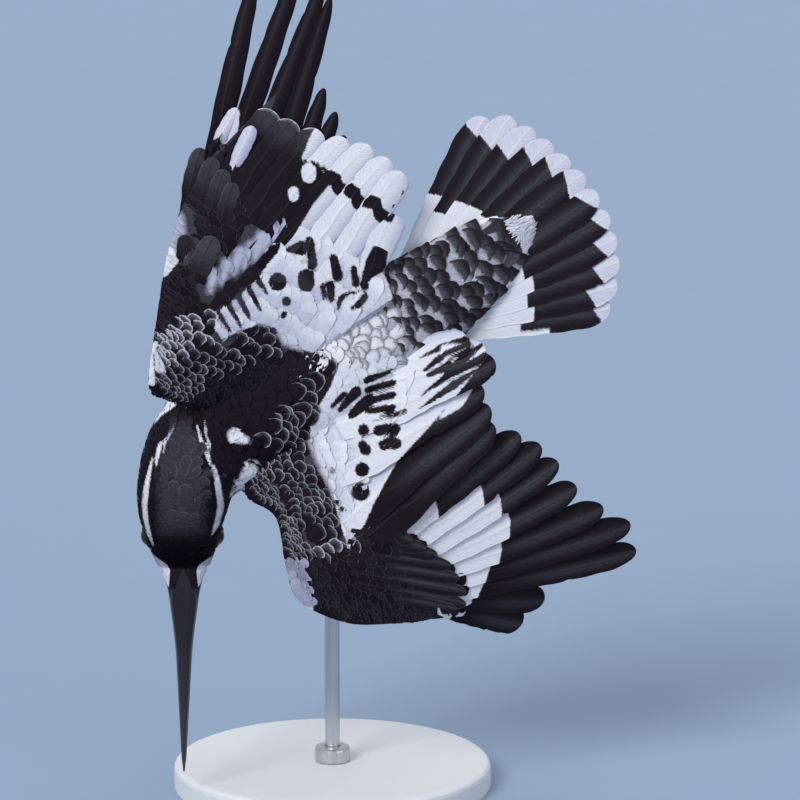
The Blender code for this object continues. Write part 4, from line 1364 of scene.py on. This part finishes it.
def fuse_flesh(nodes):
    """One closed, smoothed skin over every piece of flesh."""
    bm = bmesh.new()
    for name in SKIN_NODES:
        bm.from_mesh(nodes[name].data)
    bmesh.ops.remove_doubles(bm, verts=bm.verts, dist=1e-6)
    bm.normal_update()
    grown = [v.co + v.normal * (FLESH_SWELL * MM) for v in bm.verts]
    for v, co in zip(bm.verts, grown):
        v.co = co
    mesh = bpy.data.meshes.new("skin")
    bm.to_mesh(mesh)
    bm.free()
    obj = add_object("skin", mesh)
    fuse = obj.modifiers.new("fuse", "REMESH")
    fuse.mode = "VOXEL"
    fuse.voxel_size = VOXEL * MM
    soften = obj.modifiers.new("soften", "SMOOTH")
    soften.factor = 0.5
    soften.iterations = 6
    graph = bpy.context.evaluated_depsgraph_get()
    fused = bpy.data.meshes.new_from_object(obj.evaluated_get(graph))
    obj.modifiers.clear()
    obj.data = fused
    return obj


def make_skin(nodes, material):
    """The fused skin, drawn in by the coat's depth."""
    obj = fuse_flesh(nodes)
    mesh = obj.data
    tree = BVHTree.FromPolygons(
        [v.co.copy() for v in mesh.vertices], [tuple(p.vertices) for p in mesh.polygons]
    )
    reach = FLESH_REACH * MM
    moved = np.empty((len(mesh.vertices), 3))
    for i, v in enumerate(mesh.vertices):
        inward = -v.normal
        thick = tree.ray_cast(v.co + inward * (0.05 * MM), inward, reach)[3]
        thick = reach if thick is None else thick
        moved[i] = v.co + inward * min(COAT_DEPTH * MM, THIN_SHARE * thick)
    mesh.vertices.foreach_set("co", moved.astype(np.float32).ravel())
    mesh.update()
    normals = np.array([v.normal for v in mesh.vertices]) @ TURN
    set_attributes(mesh, {"ink": skin_ink(to_bird(moved), normals)})
    place_piece(obj, material, SKIN_NODES)


def skin_ink(points, normals):
    """The coat's markings, plainer, for the skin under it."""
    plan = plan_of(points)
    f, l = plan.T
    back = 8.0 + f + 0.15 * l
    ink = np.where((f > 26) | (head_frame(points)[0] > HEAD_REACH), head_ink(points), back)
    ink = np.where((l > 17) & (f < 40), left_ink(plan), ink)
    ink = np.where((l < -20) & (f < 45), right_ink(plan), ink)
    on_wing = (l > 24) | (l < -27)
    ink = np.where((normals[:, 2] < -0.85) & on_wing, -SURE, ink)
    below = (normals[:, 2] < -0.1) & (f < 30) & ~on_wing
    return limit(np.where(below, breast_ink(points), ink))


# Head: bill, eyes and lids


def circle(count):
    """Cosines and sines of even turns round a ring, as columns."""
    turns = np.linspace(0, 2 * math.pi, count, endpoint=False)
    return np.cos(turns)[:, None], np.sin(turns)[:, None]


def add_loft(name, rings, material, attributes=None, replaces=()):
    """A closed skin through rings of equal size, with fanned ends."""
    rings = np.asarray(rings)
    count, size, _ = rings.shape
    index = np.arange(count * size).reshape(count, size)
    after = np.roll(index, -1, axis=1)
    faces = np.stack((index[:-1], after[:-1], after[1:], index[1:]), axis=-1)
    faces = faces.reshape(-1, 4).tolist()
    faces += [(count * size, b, a) for a, b in zip(index[0].tolist(), after[0].tolist())]
    faces += [(a, b, count * size + 1) for a, b in zip(index[-1].tolist(), after[-1].tolist())]
    points = np.vstack((rings.reshape(-1, 3), rings[0].mean(axis=0), rings[-1].mean(axis=0)))
    mesh = bpy.data.meshes.new(name)
    mesh.from_pydata([tuple(p) for p in to_world(points)], [], faces)
    bm = bmesh.new()
    bm.from_mesh(mesh)
    bmesh.ops.recalc_face_normals(bm, faces=bm.faces)
    bm.to_mesh(mesh)
    bm.free()
    for key, values in (attributes or {}).items():
        set_attributes(mesh, {key: np.append(values.ravel(), values.ravel()[[0, -1]])})
    place_piece(add_object(name, mesh), material, replaces)


def bill_half_width(s):
    s = np.maximum(s, BILL_CLEARANCE)
    wide = 0.5 + 4.6 * (1 - s / BILL_LENGTH) + BILL_ROOT_FLARE * np.exp(-s / 5.0)
    waist = 1 - 0.20 * smoothstep(0.16, 0.45, s / BILL_LENGTH)
    return wide * waist * mix(0.35, 1.0, smoothstep(0.0, 5.0, BILL_LENGTH - s))


def bill_height(s, root):
    s = np.maximum(s, BILL_CLEARANCE)
    return 0.35 + (root - 0.35) * (1 - s / BILL_LENGTH) ** 0.85


def bill_section(turns):
    """Outline of one half of the bill, across and up, as shares of its half width and height."""
    return signed_power(np.cos(turns), 0.86), np.abs(np.sin(turns)) ** 0.80


class BillRoot(Surface):
    """The sides of the upper bill's root, where small feathers run out from the face.

    q = (place ahead of the root in centimetres, turn from the left edge over the culmen)
    """

    step = (0.01, 0.03)

    def __init__(self):
        self.face_up((0.2, math.pi / 2))

    def point(self, q):
        s, (across, rise) = q[..., 0] * 10.0, bill_section(q[..., 1])
        across = across * (bill_half_width(s) + 0.1)
        rise = rise * (bill_height(s, UPPER_HEIGHT) + 0.1) + GAPE_GAP / 2
        return (BILL_ROOT + HEAD_FORWARD * s[..., None] + HEAD_LEFT * across[..., None]
                + UP * rise[..., None])

    def flow(self, q):
        return self.slopes(q)[0]


def lore_dress(vanes):
    wedge = lore_ink(*head_frame(vanes.points))
    return dress_of(vanes, limit(-2.0 * wedge), 0.0, 0.0, 0.10)


def make_lores(material):
    """The white wedges of small feathers that run out along the bill."""
    surface = BillRoot()
    rng = np.random.default_rng(51)
    coat = Coat()
    patch = lambda roots: np.stack((0.1 + 0.8 * roots[:, 1] / math.pi, 0.4 + 0.4 * roots[:, 0]), -1)
    for number, ahead in enumerate(np.arange(-2.4, 5.6, 0.62)):
        low = 0.10 + 0.40 * smoothstep(0.0, 5.0, ahead)
        high = mix(1.45, 0.95, smoothstep(-0.5, 5.5, ahead))
        count = 10 + number % 2
        for start, end in ((low, high), (math.pi - high, math.pi - low)):
            turns = np.linspace(start, end, count) + rng.normal(0, 0.02, count)
            roots = np.stack((np.full(count, ahead / 10.0), turns), axis=-1)
            grow(coat, surface, roots, 1.9, 0.95, rng, lore_dress, patch, **LORE_VANE)
    coat.piece("coat_lores", material, "head_plumage")


def make_bill(material):
    """Dagger bill: a culmen ridge, a sunken nostril, a cutting edge and a fine tip."""
    x, z = bill_section(np.linspace(0, math.pi, 25))
    floor = np.linspace(-0.86, 0.86, 9)
    lip = 0.16 * np.exp(-(z / 0.10) ** 2) * np.sign(x)
    for name, sign, root, reach in (
        ("bill_upper", 1, UPPER_HEIGHT, 1.0), ("bill_lower", -1, LOWER_HEIGHT, 0.985),
    ):
        run = BILL_LENGTH * reach - BILL_CLEARANCE
        places = np.concatenate((
            np.linspace(-3.2, 0.9, 7), BILL_CLEARANCE + run * np.linspace(0, 1, 72) ** 1.15,
        ))
        rings = []
        for s in places:
            half = bill_half_width(s)
            ridge = 0.10 * np.exp(-(x / 0.16) ** 2) * min(1.0, s / 6.0)
            flute = -0.06 * np.exp(-((np.abs(x) - 0.55) / 0.16) ** 2) * math.exp(-s / 38.0)
            nostril = -0.16 * math.exp(-((s - 7.5) / 2.2) ** 2) * np.exp(-((z - 0.52) / 0.16) ** 2)
            scale = 1 + flute + (nostril if sign > 0 else 0.0)
            rise = (z * (1 + ridge)) * bill_height(s, root) * scale + GAPE_GAP / 2
            across = np.append(x * half * scale + lip, floor * half)
            up = sign * np.append(rise, np.full(len(floor), GAPE_GAP / 2 + 0.12))
            rings.append(BILL_ROOT + HEAD_FORWARD * s + HEAD_LEFT * across[:, None]
                         + UP * up[:, None])
        growth = np.repeat(places[:, None], len(x) + len(floor), axis=1)
        add_loft(f"{name}_horn", rings, material, {"growth": growth},
                 replaces=(name,))


def make_eyes(eye_material, lid_material):
    for side, sign in (("left", 1), ("right", -1)):
        centre = EYE_CENTRE + HEAD_LEFT * (sign * EYE_SPREAD)
        axis = unit(HEAD_LEFT * sign + HEAD_FORWARD * 0.32 + UP * 0.10)
        across = unit(np.cross(axis, UP))
        over = np.cross(across, axis)
        angles = np.linspace(0.02, math.pi - 0.02, 26)
        c, s = circle(40)
        ring = across * c + over * s
        rings = []
        for angle in angles:
            r = EYE_RADIUS * 0.985 * (1 + 0.03 * math.exp(-(angle / 0.5) ** 2))
            rings.append(centre + axis * (r * math.cos(angle)) + ring * (r * math.sin(angle)))
        gaze = np.repeat(angles[:, None], len(ring), axis=1)
        add_loft(f"eyeball_{side}", rings, eye_material, {"gaze": gaze},
                 replaces=(f"eye_{side}",))
        c, s = circle(12)
        lid = []
        for turn in np.linspace(0, 2 * math.pi, 48, endpoint=False):
            out = unit(across * math.cos(turn) + over * (math.sin(turn) * 0.92))
            gape = 0.93 + 0.05 * math.cos(2 * turn)
            away = axis * math.cos(gape) + out * math.sin(gape)
            spot = centre + away * (EYE_RADIUS + 0.05)
            away = unit(away)
            along_lid = unit(np.cross(away, unit(np.cross(axis, out))))
            bead = 1 + 0.10 * math.sin(turn * 14)
            lid.append(spot + (along_lid * c * 0.62 + away * s * 0.34) * bead)
        add_loft(f"eyelid_{side}", lid + lid[:1], lid_material)


# Legs and feet


def add_tube(name, path, radii, sides, material, ripple=None, replaces=()):
    """A round tube along a path; ripple(step, cosines) swells its rings."""
    c, s = circle(sides)
    rings = []
    for k, (point, radius) in enumerate(zip(path, radii)):
        ahead = unit(path[min(k + 1, len(path) - 1)] - path[max(k - 1, 0)])
        across = unit(np.cross(ahead, UP + 1e-3))
        upward = np.cross(across, ahead)
        r = radius * (1 + (ripple(k, c) if ripple else 0))
        rings.append(point + across * (r * c) + upward * (r * s))
    add_loft(name, rings, material, replaces=replaces)


def make_leg(side, sign, skin, horn):
    corners = np.array(LEG_PATH) * (1.0, sign, 1.0)
    steps = np.linspace(0.0, 2.0, 40)
    radii = along(np.array(LEG_RADII)[:, None], steps)[:, 0]
    scutes = lambda k, cosines: 0.05 * math.sin(k * 1.6) * (0.6 + 0.4 * cosines)
    add_tube(f"shank_{side}", along(corners, steps), radii, 18, skin, scutes,
             replaces=(f"leg_{side}",))
    back = unit(corners[2] - corners[1]) * PALM_REACH
    palm = corners[2] + back
    steps = np.linspace(0, 1, 14)
    add_tube(f"sole_{side}", corners[2] + back * (1.35 * steps)[:, None],
             1.25 + 0.35 * np.sin(steps * 2.4), 16, skin, replaces=(f"foot_{side}",))
    for toe, length in TOE_LENGTHS.items():
        swing = TOE_SPLAY[toe] * sign
        way, curl = (-math.cos(swing), math.sin(swing), 0.30), lambda t: -1.9 * t**2.2
        if toe == "hind":
            way, curl = (0.25, 0.12 * sign, -0.9), lambda t: 0.4 * t
        way = unit(np.array(way))
        reach = lambda t: palm + way * (t * length)[:, None] + UP * curl(t)[:, None]
        shares = np.linspace(0, CLAW_START + 0.03, 34)
        add_tube(f"toe_{toe}_{side}", reach(shares),
                 TOE_RADIUS * (1.02 - 0.30 * shares) * (1 + 0.07 * np.cos(shares * 22)), 14, skin,
                 lambda k, _: 0.04 * math.sin(k * 1.5))
        shares = np.linspace(CLAW_START, 1.0, 14)
        hook = (shares - CLAW_START) / (1 - CLAW_START)
        add_tube(f"claw_{toe}_{side}", reach(shares) - UP * (0.7 * hook**2)[:, None],
                 0.62 * (1 - 0.86 * hook), 12, horn)


# Materials


class Nodes:
    """Short names for the shader nodes used here."""

    def __init__(self, name):
        self.material = bpy.data.materials.new(name)
        self.material.use_nodes = True
        self.tree = self.material.node_tree
        self.shader = self.tree.nodes["Principled BSDF"]

    @property
    def place(self):
        return self.new("ShaderNodeTexCoord").outputs["Object"]

    def new(self, kind, **values):
        node = self.tree.nodes.new(kind)
        for key, value in values.items():
            setattr(node, key, value)
        return node

    def feed(self, node, **values):
        """Links or sets inputs, named in lower case or by number as in input_6."""
        for key, value in values.items():
            number = key.removeprefix("input_")
            names = [s.name.lower().replace(" ", "_") for s in node.inputs]
            socket = node.inputs[int(number) if number.isdigit() else names.index(key)]
            if isinstance(value, bpy.types.NodeSocket):
                self.tree.links.new(value, socket)
            elif socket.type == "RGBA":
                socket.default_value = (*value, 1.0)
            else:
                socket.default_value = value
        return node

    def attribute(self, name, output="Fac"):
        return self.new("ShaderNodeAttribute", attribute_name=name).outputs[output]

    def math(self, operation, a, b=0.0, c=0.0, clamp=False):
        node = self.new("ShaderNodeMath", operation=operation, use_clamp=clamp)
        return self.feed(node, input_0=a, input_1=b, input_2=c).outputs[0]

    def times(self, a, b, clamp=False):
        return self.math("MULTIPLY", a, b, clamp=clamp)

    def line(self, value, slope, level, clamp=False):
        return self.math("MULTIPLY_ADD", value, slope, level, clamp=clamp)

    def blend(self, share, a, b):
        node = self.new("ShaderNodeMix", data_type="RGBA")
        return self.feed(node, input_0=share, input_6=a, input_7=b).outputs[2]

    def noise(self, vector, scale=1.0, detail=2.0, roughness=0.5, stretch=None):
        if stretch:
            node = self.new("ShaderNodeVectorMath", operation="MULTIPLY")
            vector = self.feed(node, input_0=vector, input_1=stretch).outputs[0]
        node = self.new("ShaderNodeTexNoise")
        self.feed(node, vector=vector, scale=scale, detail=detail, roughness=roughness)
        return node.outputs["Fac"]

    def finish(self, bump, strength, depth, **values):
        """Sets the shader's inputs, with a bump of a depth in millimetres."""
        node = self.new("ShaderNodeBump")
        self.feed(node, strength=strength, distance=depth * MM, height=bump)
        self.feed(self.shader, normal=node.outputs[0], **values)
        return self.material


def plumage_material(name, barbs=1.0, shafts=False):
    """Black and white plumage: ink, fringes and barbs, all read from each feather's own places."""
    n = Nodes(name)
    ink, tone, soft, edge, fringe, fringe_tone = (
        n.attribute(key) for key in ("ink", "tone", "soft", "edge", "fringe", "fringe_tone")
    )
    barb = n.attribute("barb", "Vector")
    streak = n.noise(barb, 1.0, 3.0, 0.6, stretch=(2.6, 0.35, 1.0))
    fray = n.noise(barb, stretch=(3.2, 0.5, 1.0))
    jag = n.times(n.math("SUBTRACT", fray, 0.5), 1.5)
    jag = n.times(jag, n.line(soft, 0.6, 1.0))
    black = n.math("DIVIDE", n.math("ADD", ink, jag), n.line(soft, 3.0, 0.38))
    black = n.math("ADD", black, 0.5, clamp=True)
    # tone greys the white towards lavender: painted shade at feather edges and under overlapping
    # feathers, besides random tone
    pale = n.blend(n.times(tone, n.math("ADD", streak, 0.5), clamp=True), WHITE, LAVENDER)
    pale = n.blend(n.line(streak, 1.2, -0.52, clamp=True), pale, DEEP_LAVENDER)
    # tone lightens the black towards slate: painted grey sheen, besides random tone and the crown's
    # own slate
    dark = n.blend(n.times(tone, n.line(streak, 1.8, -0.1), clamp=True), BLACK, SLATE)
    worn = n.line(n.math("SUBTRACT", streak, 0.5), 1.6, n.math("SUBTRACT", tone, 1.9))
    dark = n.blend(n.times(worn, 1.1, clamp=True), dark, PALE_BASE)
    colour = n.blend(black, pale, dark)
    # Rims in the fringe's tone, with a soft halo further in: pale rims on black feathers are their
    # own colour, while the dark rims and halos on the white feathers of the lower back are painted
    # shade between them.
    reach = n.times(fringe, n.line(fray, 1.6, 0.2))
    rim = n.math("DIVIDE", n.math("SUBTRACT", reach, edge), n.line(fringe, 0.6, 0.04), clamp=True)
    rim_halo_and_shade = n.math("DIVIDE", edge, n.line(fringe, 4.0, 0.01))
    rim_halo_and_shade = n.math("SUBTRACT", 1.0, rim_halo_and_shade, clamp=True)
    rim_halo_and_shade = n.times(n.times(rim_halo_and_shade, rim_halo_and_shade), streak)
    rim = n.math("MAXIMUM", n.times(rim, n.line(streak, 0.5, 0.62)), n.times(rim_halo_and_shade, 0.5), clamp=True)
    colour = n.blend(rim, colour, n.blend(fringe_tone, (0.012, 0.012, 0.018), (0.80, 0.80, 0.88)))
    if shafts:
        shaft = n.line(n.attribute("shaft"), -9.0, 2.1, clamp=True)
        pen = n.blend(black, (0.72, 0.71, 0.74), (0.028, 0.020, 0.024))
        colour = n.blend(n.times(shaft, 0.8), colour, pen)
    return n.finish(streak, 0.55 * barbs, 0.35, base_color=colour,
                    roughness=n.line(streak, 0.25, 0.50), specular_ior_level=0.08)


def skin_material():
    n = Nodes("skin_under_plumage")
    fluff = n.noise(n.place, 900.0, 3.0, 0.6)
    black = n.math("ADD", n.attribute("ink"), n.math("SUBTRACT", fluff, 0.5))
    pale = n.blend(n.times(fluff, 0.9), (0.62, 0.62, 0.70), (0.32, 0.32, 0.40))
    dark = n.blend(fluff, (0.012, 0.008, 0.013), (0.035, 0.030, 0.042))
    colour = n.blend(n.line(black, 1.5, 0.5, clamp=True), pale, dark)
    return n.finish(fluff, 0.6, 0.4, base_color=colour, roughness=0.8)


def horn_material():
    n = Nodes("bill_horn")
    grain = n.noise(n.place, 1400.0, 3.0, 0.55, stretch=(1.0, 1.0, 0.25))
    blotch = n.noise(n.place, 160.0)
    worn = n.line(n.attribute("growth"), 0.02, -0.35, clamp=True)
    colour = n.blend(n.times(blotch, 0.7), HORN, (0.020, 0.018, 0.024))
    colour = n.blend(n.times(worn, grain), colour, (0.060, 0.057, 0.066))
    return n.finish(grain, 0.35, 0.12, base_color=colour, roughness=n.line(grain, 0.18, 0.16),
                    specular_ior_level=0.28)


def eye_material():
    n = Nodes("eye_gloss")
    gaze = n.attribute("gaze")
    iris = n.blend(n.noise(n.place, 2600.0, 3.0, 0.6), (0.010, 0.005, 0.003), (0.036, 0.017, 0.008))
    colour = n.blend(n.line(gaze, -30.0, 17.0, clamp=True), iris, (0.002, 0.002, 0.002))
    colour = n.blend(n.line(gaze, 22.0, -19.5, clamp=True), colour, (0.006, 0.005, 0.006))
    n.feed(n.shader, base_color=colour, roughness=0.08, specular_ior_level=0.2, coat_weight=0.25,
           coat_roughness=0.02)
    return n.material


def leathery_material(name, low, high, roughness, scale):
    n = Nodes(name)
    cells = n.feed(n.new("ShaderNodeTexVoronoi"), vector=n.place, scale=scale)
    colour = n.blend(n.noise(n.place, scale * 0.8, 3.0, 0.55), low, high)
    return n.finish(cells.outputs["Distance"], 0.5, 0.3, base_color=colour, roughness=roughness,
                    specular_ior_level=0.2)


def paint_material():
    n = Nodes("base_paint")
    speck = n.noise(n.place, 2200.0)
    colour = n.blend(n.noise(n.place, 22.0, 3.0), (0.60, 0.62, 0.65), (0.67, 0.69, 0.72))
    colour = n.blend(n.line(speck, 1.4, -0.75, clamp=True), colour, (0.50, 0.52, 0.56))
    return n.finish(speck, 0.25, 0.10, base_color=colour, roughness=n.line(speck, 0.15, 0.42))


def steel_material():
    n = Nodes("rod_steel")
    brush = n.noise(n.place, 1.0, 3.0, 0.6, stretch=(900.0, 900.0, 40.0))
    colour = n.blend(brush, (0.48, 0.49, 0.51), (0.66, 0.67, 0.69))
    return n.finish(brush, 0.2, 0.05, base_color=colour, roughness=n.line(brush, 0.25, 0.18),
                    metallic=1.0)


def floor_material():
    n = Nodes("studio_floor")
    grain = n.noise(n.place, 30.0, 4.0)
    colour = n.blend(grain, (0.246, 0.328, 0.456), (0.256, 0.340, 0.472))
    n.feed(n.shader, base_color=colour, roughness=0.95)
    return n.material


def dress_node(node, material):
    node.data.materials.clear()
    node.data.materials.append(material)


# Studio


def make_floor(material):
    """A wide flat floor, large enough to lie behind the bird from every side."""
    mesh = bpy.data.meshes.new("studio_floor")
    r = 7.0
    mesh.from_pydata([(-r, -r, 0.0), (r, -r, 0.0), (r, r, 0.0), (-r, r, 0.0)], [], [(0, 1, 2, 3)])
    mesh.materials.append(material)
    add_object("studio_floor", mesh)


def make_light(name, place, strength, width, colour=(1.0, 1.0, 1.0)):
    """A wide, far-off lamp that shines from a place towards the middle."""
    data = bpy.data.lights.new(name, "SUN")
    data.energy = strength
    data.angle = width
    data.color = colour
    light = add_object(name, data)
    light.location = place
    light.rotation_euler = (-Vector(place)).to_track_quat("-Z", "Y").to_euler()


def make_studio():
    make_floor(floor_material())
    make_light("key", (-0.75, -1.0, 0.95), 2.1, 0.45, (1.0, 0.99, 0.97))
    make_light("fill", (1.0, -0.9, 0.45), 0.4, 0.8, (0.93, 0.96, 1.0))
    make_light("top", (0.1, 0.3, 1.3), 0.6, 0.8)
    world = bpy.data.worlds.new("studio")
    world.use_nodes = True
    background = world.node_tree.nodes["Background"]
    background.inputs["Color"].default_value = (*BACKDROP, 1.0)
    background.inputs["Strength"].default_value = 0.62
    bpy.context.scene.world = world
    bpy.context.scene.view_settings.view_transform = "Standard"


def make_camera():
    """A level lens that looks straight at the bird's back, 1.6 m away."""
    upward = Vector((0.0, math.sin(BACK_TILT), math.cos(BACK_TILT)))
    away = Vector((0.0, -math.cos(BACK_TILT), math.sin(BACK_TILT)))
    data = bpy.data.cameras.new("camera")
    data.lens = 216.0
    data.sensor_width = 36.0
    camera = add_object("camera", data)
    right, down = 0.0333, 0.005  # from the bird's origin to the middle of the view
    middle = Vector(BIRD_ORIGIN) * MM + Vector((right, 0.0, 0.0)) - upward * down
    camera.location = middle + away * 1.6
    camera.rotation_euler = (math.pi / 2 - BACK_TILT, 0.0, 0.0)
    bpy.context.scene.camera = camera


def main():
    for obj in list(bpy.data.objects):
        bpy.data.objects.remove(obj)
    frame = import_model()
    nodes = frame["nodes"]
    plumage = plumage_material("plumage")
    flight = plumage_material("flight_plumage", 1.3, shafts=True)
    horn = horn_material()
    leg = leathery_material("leg_skin", *LEG_SKIN, 0.5, 900.0)
    lid = leathery_material("eyelid_skin", *LID_SKIN, 0.6, 1800.0)

    make_skin(nodes, skin_material())
    body_tree = solid_tree(*(nodes[name] for name in ("trunk", "neck", "head", "tail_coverts")))
    make_body_coat(plumage, solid_tree(nodes["wing_left_arm"], nodes["wing_right_arm"]))
    make_wing_coat("left", left_dress, plumage, body_tree)
    make_wing_coat("right", right_dress, plumage, body_tree)
    make_flight("left", flight)
    make_flight("right", flight)
    make_tail(flight)
    make_coverts("left", LEFT_COVERTS, nodes, flight)
    make_coverts("right", RIGHT_COVERTS, nodes, flight)
    make_bill(horn)
    make_lores(plumage)
    make_eyes(eye_material(), lid)
    make_leg("left", 1, leg, horn)
    make_leg("right", -1, leg, horn)
    steel = steel_material()
    dress_node(nodes["stand_base"], paint_material())
    dress_node(nodes["stand_rod"], steel)
    dress_node(nodes["stand_collar"], steel)
    make_studio()
    make_camera()
    bpy.context.view_layer.update()


main()
